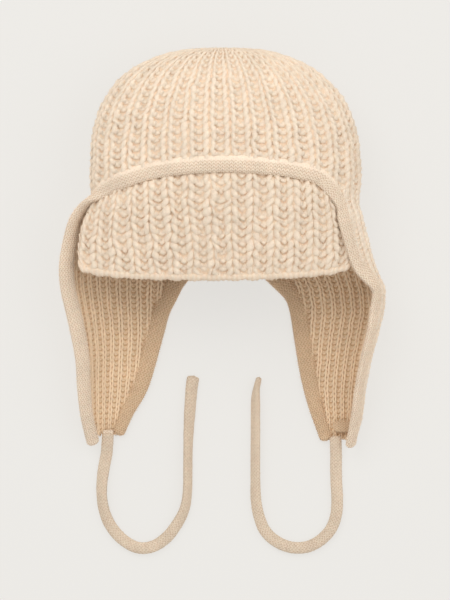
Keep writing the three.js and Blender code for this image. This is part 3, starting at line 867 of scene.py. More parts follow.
def knit_loop(name, gauge):
    """One repeat of the rib: a straight piece of yarn, bent into its loops. Both of its ends are open."""
    line, radii = loop_line(gauge)
    rings = len(line)
    deselect()
    bpy.ops.mesh.primitive_cylinder_add(
        vertices=gauge["sides"], radius=1, depth=1, end_fill_type="NOTHING"
    )
    obj = bpy.context.object
    obj.name = name
    mesh = obj.data
    heights = coordinates(obj)[:, 2]
    upright = np.array([np.ptp(heights[list(edge.vertices)]) > 0.5 for edge in mesh.edges])
    with editing(obj):
        bpy.ops.mesh.select_mode(type="EDGE")
        bpy.ops.mesh.select_all(action="DESELECT")
    mesh.edges.foreach_set("select", upright)
    with editing(obj):
        bpy.ops.mesh.subdivide(number_cuts=rings - 2)
    straight = coordinates(obj)
    ring = np.rint((straight[:, 2] + 0.5) * (rings - 1)).astype(int)
    angle = np.arctan2(straight[:, 1], straight[:, 0])
    repeat = line[-1] - line[0]
    before = line[-2] - repeat
    after = line[1] + repeat
    around = np.vstack([before, line, after])
    tangent = unit(around[2:] - around[:-2])
    up = np.array([0.0, 0.0, 1.0])
    normal = unit(up - tangent * tangent[:, 2:3])
    side = np.cross(tangent, normal)
    away = normal[ring] * np.cos(angle)[:, None] + side[ring] * np.sin(angle)[:, None]
    move_to(obj, line[ring] + away * radii[ring][:, None], 1)
    twist = np.stack([np.cos(angle), np.sin(angle), ring / (rings - 1)], 1)
    add_attribute(obj, "twist", twist)
    # The pile is the height of the yarn's surface; where it is low, between the loops, the wool is painted
    # in shade
    add_attribute(obj, "pile", line[ring][:, 2] + 1.6 * away[:, 2] * radii[ring])
    add_attribute(obj, "off_line", away * radii[ring][:, None])
    return obj


def yarn_line(obj, flat):
    """The middle of the yarn at each vertex, so that a cut takes whole rings of it."""
    return flat - read_attribute(obj, "off_line")


def knit_flat(name, gauge, ribs, rows, row_height, bends_down=1):
    """A flat piece of knitting from one loop that is copied along the rows and then row by row."""
    obj = knit_loop(name, gauge)
    if bends_down < 0:
        move_to(obj, coordinates(obj) * (1, -1, 1), 1)
        add_attribute(obj, "off_line", read_attribute(obj, "off_line") * (1, -1, 1))
    repeat(obj, ribs, (rib_width(gauge), 0, 0), merge=True)
    repeat(obj, rows, (0, row_height, 0))
    return obj


def wander(flat, seed, spacing, amount):
    """Uneven tension: a smooth drift of the loops, different from one to the next."""
    rng = np.random.default_rng(seed)
    cells = rng.normal(0, 1, (96, 96, 3))
    u = flat[:, 0] / spacing + 40
    v = flat[:, 1] / spacing + 40
    i = np.floor(u).astype(int)
    j = np.floor(v).astype(int)
    a = ease(u - i)[:, None]
    b = ease(v - j)[:, None]

    def cell(di, dj):
        return cells[(i + di) % 96, (j + dj) % 96]

    near = mix(cell(0, 0), cell(1, 0), a)
    far = mix(cell(0, 1), cell(1, 1), a)
    return flat + mix(near, far, b) * np.array(amount)


def backing(name, cloth, spans, outside, wave, step, thickness, outer_pile=0.0):
    """The inner layer of the cloth, over spans of u and v. It shows only in the gaps between the loops,
    where its low pile paints it in the shade colour; outer_pile is the pile of its outer side.
    """
    cuts = [max(2, round((high - low) / step)) for low, high in spans]
    obj, flat = new_grid(name, *cuts)
    for axis, span in enumerate(spans):
        flat[:, axis] = mix(*span, (flat[:, axis] + 1) / 2)
    flat[:, 2] = wave(flat[:, 0], flat[:, 1])
    move_to(obj, flat, 1)
    delete_where(obj, outside(flat[:, 0], flat[:, 1]))
    flat = coordinates(obj)
    move_to(obj, cloth.lay(flat))
    out = cloth.sample(cloth.normals, flat[:, 0], flat[:, 1])
    solid = obj.modifiers.new("thickness", "SOLIDIFY")
    solid.thickness = thickness * MM
    solid.offset = 0
    apply_modifier(obj, solid)
    add_even_attribute(obj, "twist", UNTWISTED)
    places = coordinates(obj)
    half = len(places) // 2
    first_side = np.sum((places[:half] - places[half:]) * out[:half], axis=1) > 0
    pile = np.concatenate([np.where(first_side, outer_pile, 0), np.where(first_side, 0, outer_pile)])
    add_attribute(obj, "pile", pile)
    return obj


def join(target, *others):
    only(target)
    for other in others:
        other.select_set(True)
    bpy.ops.object.join()
    return target


def finish_piece(obj, material, slot, *nodes):
    """Smooths a piece, gives it its material, and ties it to the frame."""
    only(obj)
    bpy.ops.object.shade_smooth()
    if "off_line" in obj.data.attributes:
        obj.data.attributes.remove(obj.data.attributes["off_line"])
    obj.data.materials.clear()
    obj.data.materials.append(material)
    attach(obj, "root")
    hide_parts(*nodes)
    return obj


def knit_crown(settings):
    """The ribbed dome of the crown, closed at the pole and open at the brow and the nape."""
    cloth, ys = crown_cloth()
    gauge = CHUNKY
    ribs = CROWN["ribs"]
    row_height = settings.crown_row
    last = np.interp(CROWN_KNIT["last_row_y"], ys[::-1], cloth.vs[::-1])
    first = CROWN_KNIT["first_row"]
    rows = int((last - first) / row_height) + 1
    obj = knit_flat("crown_knit", gauge, ribs, rows, row_height)
    flat = coordinates(obj)
    flat[:, 1] += first
    flat[:, 0] += CROWN["rib_shift"] - gauge["columns"][0][0] / 2
    line = yarn_line(obj, flat)
    line[:, 0] = line[:, 0] * GIRTH / (ribs * rib_width(gauge)) % GIRTH
    drifted = wander(flat, seed=11, spacing=8.0, amount=(0.75, 0.6, 0.5))
    blend = np.minimum(np.minimum(flat[:, 0] + 10, GIRTH + 10 - flat[:, 0]) / 15, 1)[:, None]
    flat = mix(flat, drifted, np.clip(blend, 0, 1))
    scaled = flat.copy()
    scaled[:, 0] *= GIRTH / (ribs * rib_width(gauge))

    def banded(angle):
        left, right = CROWN_KNIT["brow_band"]
        return (angle > left) & (angle < right) | (np.abs(angle) > CROWN_KNIT["nape_band"])

    angle = angle_at(scaled[:, 0] % GIRTH - GIRTH / 2)
    above = np.interp(scaled[:, 1], cloth.vs, ys) - rim_y(angle)
    thin = mix(CROWN_KNIT["open_relief"], 1, ease(above / CROWN_KNIT["open_fade"]))
    under_band = mix(CROWN_KNIT["banded_relief"], 1, ease((above - 2) / CROWN_KNIT["banded_fade"]))
    scaled[:, 2] *= np.where(banded(angle), under_band, thin)

    def past_rim(u, v, margins):
        """Past the rim by a margin in mm, the first where a band covers the rim and the second elsewhere."""
        angle = angle_at(u - GIRTH / 2)
        return np.interp(v, cloth.vs, ys) < rim_y(angle) + np.where(banded(angle), *margins)

    gone = past_rim(line[:, 0], line[:, 1], (1.5, -1.5))
    scaled[:, 0] %= GIRTH
    move_to(obj, cloth.lay(scaled))
    cut_away(obj, gone)

    def inner_outside(u, v):
        return past_rim(u, v, (-2, -4))

    def wave(u, v):
        ribbed = INNER_WAVE * np.cos(2 * np.pi * (u - crest) / pitch)
        angle = angle_at(u % GIRTH - GIRTH / 2)
        open_edge = ~banded(angle)
        near = 1 - ease((np.interp(v, cloth.vs, ys) - rim_y(angle)) / CROWN_KNIT["open_fade"])
        near_pole = 1 - ease(v / 45)
        return mix(ribbed, -0.3, near * open_edge) - 3.2 * near_pole

    pitch = GIRTH / ribs
    crest = CROWN["rib_shift"] + (gauge["columns"][0][0] + gauge["columns"][1][0]) / 2
    spans = ((0, GIRTH), (0.6, last + 20))
    inner = backing("crown_inner", cloth, spans, inner_outside, wave, step=4.6, thickness=2.4)
    join(obj, inner, gathered_top())
    loose_fibres(obj, 51, **CROWN_FIBRES)
    close_up(obj, outwards=False)
    return finish_piece(obj, wool_material("chunky_wool", settings, "chunky"), "chunky_rib_knit", "crown")


def gathered_top():
    """Where the last loops are drawn together: a small pad of yarn over the pole."""
    obj = round_ball("crown_gather", 60, 12)
    ball = coordinates(obj)
    angle = np.arctan2(ball[:, 1], ball[:, 0])
    reach = np.hypot(ball[:, 0], ball[:, 1])
    pleats = np.cos(POLE_PAD["pleats"] * angle)
    pleat = 1 + POLE_PAD["pleat_depth"] * pleats * reach
    centre = crown_place(np.array([0.0]), np.array([CROWN["pole_y"]]))[0]
    place = np.empty_like(ball)
    place[:, 0] = centre[0] + ball[:, 0] * POLE_PAD["half_x"] * pleat
    place[:, 1] = centre[1] + ball[:, 2] * POLE_PAD["half_y"] * pleat - POLE_PAD["sunk"]
    place[:, 2] = centre[2] + ball[:, 1] * POLE_PAD["half_z"] * pleat
    move_to(obj, place)
    close_up(obj)
    add_attribute(obj, "twist", np.stack([np.cos(angle), np.sin(angle), reach], 1))
    # Painted shade in the pleats: the pile, and so the colour, is lower in each pleat's trough
    add_attribute(obj, "pile", 2.5 + 1.8 * pleats)
    return obj


def knit_visor(settings):
    """The turned-down visor, knitted from its free edge up to the brow band."""
    cloth, length = visor_cloth()
    gauge = dict(CHUNKY, row=settings.visor_row, steps=14, sides=8)
    ribs = VISOR["ribs"] + 1
    rows = int(VISOR["knitted_length"] / settings.visor_row) + 2
    obj = knit_flat("visor_knit", gauge, ribs, rows, settings.visor_row, -1)
    flat = coordinates(obj)
    width = rib_width(gauge)
    flat[:, 0] -= gauge["columns"][0][0] + gauge["columns"][1][0] / 2
    flat[:, 1] -= settings.visor_row * 0.3
    line = yarn_line(obj, flat)
    flat = wander(flat, seed=23, spacing=7.0, amount=(1.0, 0.85, 0.6))
    flat[:, 2] *= mix(0.4, 1, ease((flat[:, 1] + 2) / 12))
    span = VISOR["ribs"] * width

    def tucked(u, v):
        under_band = np.interp(u, cloth.us, length) - v
        share = ease((under_band - VISOR["tuck_from"]) / VISOR["tuck_over"])
        return VISOR["tuck_depth"] * (1 - share)

    flat[:, 2] -= tucked(flat[:, 0], flat[:, 1])

    def outside(u, v):
        top = np.interp(u, cloth.us, length) - 1.0
        return (v > top) | (u < -VISOR["past_sides"]) | (u > span + VISOR["past_sides"])

    gone = outside(line[:, 0], line[:, 1])
    move_to(obj, cloth.lay(flat, 0.3))
    cut_away(obj, gone)

    def beyond(u, v):
        return v > np.interp(u, cloth.us, length) - 0.5

    def wave(u, v):
        return INNER_WAVE * np.cos(2 * np.pi * u / width) - 1.25 * tucked(u, v)

    spans = ((0, span), (1.0, 104))
    inner = backing("visor_inner", cloth, spans, beyond, wave, step=3.4, thickness=2.6)
    join(obj, inner, edge_roll(cloth, span))
    loose_fibres(obj, 53, **VISOR_FIBRES)
    material = wool_material("visor_wool", settings, "chunky")
    return finish_piece(obj, material, "chunky_rib_knit", "visor")


def edge_roll(cloth, span):
    """The visor's free edge: a soft roll of yarn that swells a little under each rib."""
    obj, flat = new_grid("visor_edge_roll", 280, 10)
    past, stitch = EDGE_ROLL["past_side"], EDGE_ROLL["stitch"]
    u = mix(-past, span + past, (flat[:, 0] + 1) / 2)
    turn = np.pi * flat[:, 1]
    swell = EDGE_ROLL["radius"] + EDGE_ROLL["rib_swell"] * np.cos(2 * np.pi * u / rib_width(CHUNKY))
    twisted = np.sin(2 * np.pi * u / stitch + turn)
    swell = swell + EDGE_ROLL["stitch_swell"] * twisted + 0.25 * np.sin(u / 2.3)
    taper = np.clip(np.minimum(u + 2.4, span + 2.4 - u) / 3, 0, 1) ** 0.5
    across = 1.2 + swell * taper * np.cos(turn)
    move_to(obj, cloth.lay(np.stack([u, across, swell * taper * np.sin(turn)], 1), 0))
    close_up(obj)
    add_even_attribute(obj, "twist", UNTWISTED)
    # Painted shade: darker stripes between the roll's stitches, from a pile that falls between them
    add_attribute(obj, "pile", 2.6 + 2 * np.sin(coordinates(obj)[:, 0] / MM * 2 * np.pi / stitch))
    return obj


def loose_fibres(obj, seed, count, length, above):
    """Wool fibres that stand off a knitted piece: one slender fibre, copied and scattered over its yarn."""
    rng = np.random.default_rng(seed)
    mesh = obj.data
    mesh.calc_loop_triangles()
    corners = np.empty(len(mesh.loop_triangles) * 3, np.int32)
    mesh.loop_triangles.foreach_get("vertices", corners)
    corners = corners.reshape(-1, 3)
    places = coordinates(obj)[corners] / MM
    cross = np.cross(places[:, 1] - places[:, 0], places[:, 2] - places[:, 0])
    share = np.linalg.norm(cross, axis=1)
    if "pile" in mesh.attributes:
        share = share * (read_attribute(obj, "pile")[corners].mean(1) > above)
    pick = rng.choice(len(share), count, p=share / share.sum())
    a, b = np.sort(rng.random((2, count)), axis=0)
    weights = np.stack([a, b - a, 1 - b], 1)[:, :, None]
    root = np.sum(places[pick] * weights, axis=1)
    normal = unit(cross[pick])
    lean = unit(normal * 0.7 + rng.normal(0, 0.75, (count, 3)))
    lean = unit(lean + normal * np.maximum(0.15 - np.sum(lean * normal, axis=1), 0)[:, None])
    side = unit(np.cross(lean, rng.normal(0, 1, (count, 3))))
    reach = length * rng.uniform(0.4, 1.1, count)
    deselect()
    bpy.ops.mesh.primitive_circle_add(vertices=3, radius=1, fill_type="NGON")
    fibres = bpy.context.object
    repeat(fibres, count, (0, 0, 0))
    along = np.array([1.0, 0.0, 0.0])[None, :, None]
    across = np.array([0.0, -FIBRE_HALF_WIDTH, FIBRE_HALF_WIDTH])[None, :, None]
    place = root[:, None] + lean[:, None] * reach[:, None, None] * along + side[:, None] * across
    place[..., 2] = np.maximum(place[..., 2], LEAST_HEIGHT)
    move_to(fibres, place.reshape(-1, 3))
    add_even_attribute(fibres, "twist", UNTWISTED)
    add_even_attribute(fibres, "pile", FIBRE_PILE)
    if "stitch" in mesh.attributes:
        add_even_attribute(fibres, "stitch", FIBRE_STITCH)
    return join(obj, fibres)


def knit_flap(settings, flap, name, node, seed):
    """An ear flap in fine rib, from the crown's side down to its tip."""
    cloth, ys, shares, beyond_back = flap_cloth(flap)
    gauge = FINE
    width = rib_width(gauge)
    length = ys[0] - flap["tip_y"]
    obj = knit_flat(name, gauge, FLAP_RIBS, int(length / gauge["row"]) + 1, gauge["row"])
    flat = coordinates(obj)
    half = FLAP_RIBS * width / 2
    flat[:, 0] -= half
    line = yarn_line(obj, flat)
    flat = wander(flat, seed, spacing=5.0, amount=(0.3, 0.26, 0.2))

    def outside(u, v):
        share = cloth.sample(shares, u, v)
        y = ys[0] - v
        angle = flap["outwards"] * mix(flap["back_angle"], flap["front_angle"], np.clip(share, 0, 1))
        reach = cloth.us[-1]
        tucked = cloth.sample(beyond_back, u, v) > np.where(y > -45, 6, 0)
        past = (share < 0) & tucked | (share > 1) | (np.abs(u) > reach)
        return past | (y > rim_y(angle) + 9) | (y < flap["tip_y"])

    gone = outside(line[:, 0], line[:, 1])
    pile = read_attribute(obj, "pile")
    add_attribute(obj, "pile", np.where(pile > 0, pile + OUTER_PILE, -pile))
    move_to(obj, cloth.lay(flat))
    cut_away(obj, gone)
    crest = gauge["columns"][0][0] + gauge["columns"][1][0] / 2 - half

    def wave(u, v):
        return 0.3 * np.cos(2 * np.pi * (u - crest) / width)

    def inner_outside(u, v):
        return outside(u, v) | (v > length - 4)

    spans = ((-half, half), (0, length))
    inner = backing(name + "_inner", cloth, spans, inner_outside, wave, 2.0, 1.2, OUTER_PILE)
    join(obj, inner)
    loose_fibres(obj, seed, **FLAP_FIBRES)
    return finish_piece(obj, wool_material(name + "_wool", settings, "fine"), "fine_rib_knit", node)


def stockinette(name, strip, wale, course, relief, along_wales, smooth_lit_side=None):
    """A strip of tight stockinette: rows of small V stitches over the whole strip."""
    around = strip.vs[-1]
    start, end = strip.us[0], strip.us[-1]
    wales = max(2, round((around if along_wales else end - start) / wale))
    courses = max(2, round((end - start if along_wales else around) / course))
    cuts = (4 * wales, 3 * courses)
    obj, flat = new_grid(name, *(cuts[::-1] if along_wales else cuts))
    flat = (flat + 1) / 2
    u = mix(start, end, flat[:, 0])
    v = around * flat[:, 1]
    x = wales * (flat[:, 1] if along_wales else flat[:, 0])
    y = courses * (flat[:, 0] if along_wales else flat[:, 1])
    leg = np.abs((x % 1) - 0.5)
    phase = (y + STITCH_SLANT * leg) % 1
    height = np.sin(np.pi * phase) ** 0.7 * np.sin(2 * np.pi * leg) ** 0.25
    flat = np.stack([u, v, np.zeros_like(u)], 1)
    # Over the brow the band's upper side is smoothed, and the same share paints it lighter in its material,
    # as lit from above
    smooth = np.zeros_like(u)
    if smooth_lit_side:
        centres = np.stack([np.interp(u, strip.us, strip.centres[:, k]) for k in range(3)], 1)
        smooth = smooth_lit_side(strip.cloth.lay(flat, 0), centres)
    from_end = np.clip((np.minimum(u - start, end - u) - 0.5) / 4, 0, 1)
    flat[:, 2] = relief * (height - 0.6) * (1 - smooth) * from_end
    add_attribute(obj, "stitch", np.stack([x, y, smooth], 1))
    move_to(obj, strip.cloth.lay(flat, 0))
    close_up(obj, 1.5 * SAME_POINT)
    return obj


def brow_smooth_lit(places, centres):
    """How smooth the band is, and how much painted light it gets: over the brow its upper side is stretched
    smooth and painted lighter, as lit from above, and the rest shows its rows.
    """
    upper = ease((places[:, 1] - centres[:, 1] - 1.0) / 4)
    return 0.85 * upper * ease((centres[:, 1] - 38) / 16)


def shader_group(name, inputs, outputs):
    group = bpy.data.node_groups.new(name, "ShaderNodeTree")
    for label, kind, default in inputs:
        socket = group.interface.new_socket(label, in_out="INPUT", socket_type=kind)
        if default is not None:
            socket.default_value = default
    for label, kind in outputs:
        group.interface.new_socket(label, in_out="OUTPUT", socket_type=kind)
    return group, group.nodes.new("NodeGroupInput"), group.nodes.new("NodeGroupOutput")


def set_inputs(node, values):
    for name, value in values.items():
        node.inputs[name].default_value = value


def split_vector(tree, vector):
    node = tree.nodes.new("ShaderNodeSeparateXYZ")
    tree.links.new(vector, node.inputs[0])
    return node.outputs


def attribute_node(tree, name):
    node = tree.nodes.new("ShaderNodeAttribute")
    node.attribute_name = name
    return node


def bump_node(tree, height, strength, distance):
    node = tree.nodes.new("ShaderNodeBump")
    set_inputs(node, {"Strength": strength, "Distance": distance})
    tree.links.new(height, node.inputs["Height"])
    return node


def maths(tree, operation, a, b=None, c=None):
    node = tree.nodes.new("ShaderNodeMath")
    node.operation = operation
    for socket, value in zip(node.inputs, (a, b, c)):
        if isinstance(value, (int, float)):
            socket.default_value = value
        elif value is not None:
            tree.links.new(value, socket)
    return node.outputs[0]


def blend_colours(tree, factor, first, second, mode="MIX"):
    node = tree.nodes.new("ShaderNodeMix")
    node.data_type = "RGBA"
    node.blend_type = mode
    for socket, value in ((node.inputs[0], factor), (node.inputs[6], first), (node.inputs[7], second)):
        if isinstance(value, (int, float, tuple)):
            socket.default_value = value
        else:
            tree.links.new(value, socket)
    return node.outputs[2]


def noise(tree, vector, scale, detail, roughness):
    node = tree.nodes.new("ShaderNodeTexNoise")
    set_inputs(node, {"Scale": scale, "Detail": detail, "Roughness": roughness})
    tree.links.new(vector, node.inputs["Vector"])
    return node.outputs["Fac"]


def yarn_group():
    """Woollen yarn: its plies, its fibres, its uneven dye, and painted shade: a deeper colour between the
    loops.
    """
    existing = bpy.data.node_groups.get("woollen_yarn")
    if existing:
        return existing
    group, source, result = shader_group(
        "woollen_yarn",
        [
            ("Position", "NodeSocketVector", None),
            ("Twist", "NodeSocketVector", None),
            ("Pile", "NodeSocketFloat", 0.0),
            ("Light Wool", "NodeSocketColor", (0.8, 0.66, 0.5, 1)),
            ("Deep Wool", "NodeSocketColor", (0.6, 0.4, 0.24, 1)),
            ("Pile Low", "NodeSocketFloat", -3.0),
            ("Pile High", "NodeSocketFloat", 2.0),
            ("Plies", "NodeSocketFloat", 3.0),
            ("Turns", "NodeSocketFloat", 6.0),
        ],
        [("Color", "NodeSocketColor"), ("Height", "NodeSocketFloat")],
    )
    get = source.outputs
    cosine, sine, along = split_vector(group, get["Twist"])
    angle = maths(group, "ARCTAN2", sine, cosine)
    plies = maths(group, "MULTIPLY", angle, get["Plies"])
    turns = maths(group, "MULTIPLY", along, get["Turns"])
    winding = maths(group, "MULTIPLY_ADD", turns, 2 * math.pi, plies)
    ply = maths(group, "MULTIPLY_ADD", maths(group, "SINE", winding), 0.5, 0.5)
    fibres = noise(group, get["Position"], 1400.0, 4.0, 0.7)
    fleck = noise(group, get["Position"], 430.0, 2.0, 0.6)
    mottle = noise(group, get["Position"], 60.0, 3.0, 0.55)
    broad = noise(group, get["Position"], 14.0, 2.0, 0.5)
    span = maths(group, "SUBTRACT", get["Pile High"], get["Pile Low"])
    raised = maths(group, "DIVIDE", maths(group, "SUBTRACT", get["Pile"], get["Pile Low"]), span)
    ramp = group.nodes.new("ShaderNodeMapRange")
    ramp.interpolation_type = "SMOOTHSTEP"
    group.links.new(raised, ramp.inputs["Value"])
    # Painted shade: where the pile is low, between the loops, the wool blends into the darker shade colour
    wool = blend_colours(group, ramp.outputs[0], get["Deep Wool"], get["Light Wool"])
    hue = noise(group, get["Position"], 260.0, 2.0, 0.5)
    hue = maths(group, "MULTIPLY_ADD", maths(group, "SUBTRACT", hue, 0.5), 2.5, 0.5)
    dyed = blend_colours(group, hue, (1.0, 0.95, 0.92, 1), (1.0, 0.995, 0.96, 1))
    wool = blend_colours(group, 1.0, wool, dyed, "MULTIPLY")
    uneven = maths(group, "MULTIPLY_ADD", mottle, 0.22, 0.89)
    # The ply and fibre layers, which also make the bump, darken the wool where the bump is low: painted
    # shade in their grooves; the other layers are random tone of the dye
    layers = ((broad, 0.12, 0.94), (ply, 0.08, 0.95), (fibres, 0.16, 0.92), (fleck, 0.3, 0.85))
    for texture, depth, level in layers:
        uneven = maths(group, "MULTIPLY", uneven, maths(group, "MULTIPLY_ADD", texture, depth, level))
    grey = group.nodes.new("ShaderNodeCombineColor")
    for socket in grey.inputs[:3]:
        group.links.new(uneven, socket)
    shaded = blend_colours(group, 1.0, wool, grey.outputs[0], "MULTIPLY")
    group.links.new(shaded, result.inputs["Color"])
    height = maths(group, "MULTIPLY_ADD", ply, 0.6, maths(group, "MULTIPLY", fibres, 0.6))
    group.links.new(height, result.inputs["Height"])
    return group


def stockinette_group():
    """The relief of plain stockinette: rows of V stitches, one wide and one high in stitch coordinates."""
    existing = bpy.data.node_groups.get("stockinette_stitches")
    if existing:
        return existing
    group, source, result = shader_group(
        "stockinette_stitches",
        [("Stitch", "NodeSocketVector", None), ("Slant", "NodeSocketFloat", STITCH_SLANT)],
        [("Height", "NodeSocketFloat"), ("Strand", "NodeSocketVector")],
    )
    wale, course, smooth = split_vector(group, source.outputs["Stitch"])
    leg = maths(group, "ABSOLUTE", maths(group, "SUBTRACT", maths(group, "FRACT", wale), 0.5))
    slanted = maths(group, "MULTIPLY_ADD", leg, source.outputs["Slant"], course)
    phase = maths(group, "FRACT", slanted)
    round_leg = maths(group, "POWER", maths(group, "SINE", maths(group, "MULTIPLY", phase, math.pi)), 0.7)
    round_wale = maths(group, "SINE", maths(group, "MULTIPLY", leg, 2 * math.pi))
    round_wale = maths(group, "POWER", maths(group, "MAXIMUM", round_wale, 0.0), 0.25)
    height = maths(group, "MULTIPLY", round_leg, round_wale)
    # Painted light: where the band is smooth its stitches take one even, high pile, so the wool there is
    # light
    evened_lit = maths(group, "MULTIPLY", maths(group, "SUBTRACT", 0.75, height), smooth)
    group.links.new(maths(group, "ADD", height, evened_lit), result.inputs["Height"])
    strand = group.nodes.new("ShaderNodeCombineXYZ")
    group.links.new(maths(group, "COSINE", maths(group, "MULTIPLY", phase, 6.0)), strand.inputs[0])
    group.links.new(maths(group, "SINE", maths(group, "MULTIPLY", phase, 6.0)), strand.inputs[1])
    group.links.new(leg, strand.inputs[2])
    group.links.new(strand.outputs[0], result.inputs["Strand"])
    return group


def wool_material(name, settings, kind):
    """Matt, slightly fuzzy wool of one of the kinds in the table. Fine wool has painted shade on its inner
    face, which is warmer and darker than its outer face.
    """
    wool = dict(zip(WOOL_COLUMNS, WOOLS[kind]))
    light = (*getattr(settings, wool["light"]), 1)
    deep = (*getattr(settings, wool["deep"]), 1)
    material = bpy.data.materials.new(name)
    material.use_nodes = True
    tree = material.node_tree
    shader = tree.nodes["Principled BSDF"]
    yarn = tree.nodes.new("ShaderNodeGroup")
    yarn.node_tree = yarn_group()
    where = tree.nodes.new("ShaderNodeTexCoord")
    tree.links.new(where.outputs["Object"], yarn.inputs["Position"])
    set_inputs(yarn, {"Light Wool": light, "Deep Wool": deep})
    set_inputs(yarn, {"Pile Low": wool["pile_low"], "Pile High": wool["pile_high"]})
    set_inputs(yarn, {"Plies": wool["plies"], "Turns": wool["turns"]})
    if wool["stitch_relief"]:
        stitches = tree.nodes.new("ShaderNodeGroup")
        stitches.node_tree = stockinette_group()
        tree.links.new(attribute_node(tree, "stitch").outputs["Vector"], stitches.inputs["Stitch"])
        twist, pile = stitches.outputs["Strand"], stitches.outputs["Height"]
    else:
        twist = attribute_node(tree, "twist").outputs["Vector"]
        pile = attribute_node(tree, "pile").outputs["Fac"]
    tree.links.new(twist, yarn.inputs["Twist"])
    tree.links.new(pile, yarn.inputs["Pile"])
    # Painted shade on the flaps' inner face: below the outer pile the light wool is the warmer, darker inner
    # colour
    if kind == "fine":
        outer = maths(tree, "SUBTRACT", pile, OUTER_PILE - 1)
        outer.node.use_clamp = True
        both_faces = blend_colours(tree, outer, light, (*settings.outer_light, 1))
        tree.links.new(both_faces, yarn.inputs["Light Wool"])
    bump = bump_node(tree, yarn.outputs["Height"], 0.5, wool["yarn_relief"])
    tree.links.new(bump.outputs["Normal"], shader.inputs["Normal"])
    if wool["stitch_relief"]:
        relief = bump_node(tree, pile, 1.0, wool["stitch_relief"])
        tree.links.new(relief.outputs["Normal"], bump.inputs["Normal"])
    tree.links.new(yarn.outputs["Color"], shader.inputs["Base Color"])
    set_inputs(shader, {"Roughness": 0.95, "Specular IOR Level": 0.05, "Sheen Weight": 0.1})
    set_inputs(shader, {"Sheen Roughness": 0.6, "Sheen Tint": (1.0, 0.88, 0.74, 1)})
    return material


def area_light(name, place, energy, size):
    """A soft light that points at the middle of the hat."""
    data = bpy.data.lights.new(name, "AREA")
    data.energy = energy
    data.size = size
    data.color = DAYLIGHT
    light = bpy.data.objects.new(name, data)
    light.location = place
    light.rotation_euler = (-Vector(place)).to_track_quat("-Z", "Y").to_euler()
    bpy.context.collection.objects.link(light)


class HatSizes(bpy.types.PropertyGroup):
    crown_row: bpy.props.FloatProperty(
        name="Crown row", description="Height of a row of the crown in mm", default=6.9, min=4, max=12
    )
    visor_row: bpy.props.FloatProperty(
        name="Visor row", description="Height of a row of the visor in mm", default=7.7, min=4, max=12
    )
    camera_height: bpy.props.FloatProperty(
        name="Camera height", description="Camera above the hat", default=4.0, unit="LENGTH"
    )


def colour(name, description, default):
    return bpy.props.FloatVectorProperty(
        name=name, description=description, subtype="COLOR", default=default
    )


class HatColours(bpy.types.PropertyGroup):
    chunky_light: colour("Chunky wool", "Top of the chunky ribs", (0.86, 0.745, 0.62))
    # Painted shade: the darker, warmer colour between the chunky loops
    chunky_shade: colour("Chunky wool, deep", "Between the loops", (0.83, 0.655, 0.5))
    # Painted shade: the flaps' inner face is warmer and darker than the outer face, as in the shade inside
    # the flap
    fine_inner_shaded: colour("Fine rib wool", "Top of the fine ribs", (0.88, 0.7, 0.51))
    outer_light: colour("Fine rib wool, outside", "Outer face", (0.87, 0.765, 0.65))
    # Painted shade: the darker colour between the fine loops
    fine_shade: colour("Fine rib wool, deep", "Between the loops", (0.62, 0.43, 0.265))
    band_light: colour("Band wool", "Top of the band stitches", (0.955, 0.83, 0.7))
    # Painted shade: the darker colour between the band's stitches
    band_shade: colour("Band wool, deep", "Between the stitches", (0.7, 0.52, 0.36))
    # Painted shadow: the back band's wool is darker, as in the flap's shadow, with painted shade between its
    # stitches
    back_shadowed_light: colour("Back band wool", "Top of its stitches", (0.79, 0.6, 0.42))
    back_shadowed_shade: colour("Back band wool, deep", "Between its stitches", (0.56, 0.37, 0.22))
    tie_light: colour("Tie wool", "Top of its stitches", (0.76, 0.645, 0.525))
    # Painted shade: the darker colour between the tie's stitches
    tie_deep: colour("Tie wool, deep", "Between its stitches", (0.58, 0.44, 0.31))
    floor: colour("Surface", "Pale surface under the hat", (0.83, 0.815, 0.785))


class WoolSettings:
    """The sizes and colours of the panel, for the functions that knit the pieces."""

    def __init__(self, scene):
        self.sources = (scene.hat_sizes, scene.hat_colours)

    def __getattr__(self, name):
        for source in self.sources:
            if name in source.bl_rna.properties:
                return getattr(source, name)
        raise AttributeError(name)


class HAT_OT_stage(bpy.types.Operator):
    """Add the pale surface, the soft light and the camera straight above"""

    bl_idname = "hat.stage"
    bl_label = "Surface, light and camera"

    def execute(self, context):
        settings = WoolSettings(context.scene)
        deselect()
        bpy.ops.mesh.primitive_plane_add(size=12)
        floor = context.object
        floor.name = "pale_surface"
        material = bpy.data.materials.new("pale_surface")
        material.use_nodes = True
        shader = material.node_tree.nodes["Principled BSDF"]
        set_inputs(shader, {"Base Color": (0.17, 0.166, 0.16, 1), "Roughness": 0.9})
        set_inputs(shader, {"Emission Color": (*settings.floor, 1), "Emission Strength": 0.8})
        set_inputs(shader, {"Specular IOR Level": 0.1})
        floor.data.materials.append(material)

        data = bpy.data.cameras.new("above")
        camera = bpy.data.objects.new("above", data)
        context.collection.objects.link(camera)
        height = settings.camera_height
        shown = PHOTO_PIXELS * MM_PER_PIXEL * MM
        camera.location = (*PHOTO_MIDDLE, height)
        data.sensor_width = SENSOR
        data.lens = SENSOR * (height - PHOTO_PLANE) / shown
        data.clip_end = 50
        context.scene.camera = camera

        area_light("window", (-0.9, 1.6, 2.2), energy=26, size=1.8)
        area_light("room", (1.6, 0.6, 2.0), energy=16, size=2.4)
        world = bpy.data.worlds.new("soft_studio")
        context.scene.world = world
        world.use_nodes = True
        background = world.node_tree.nodes["Background"]
        set_inputs(background, {"Color": (1.0, 0.995, 0.98, 1), "Strength": 0.72})
        context.scene.view_settings.view_transform = "Standard"
        return {"FINISHED"}


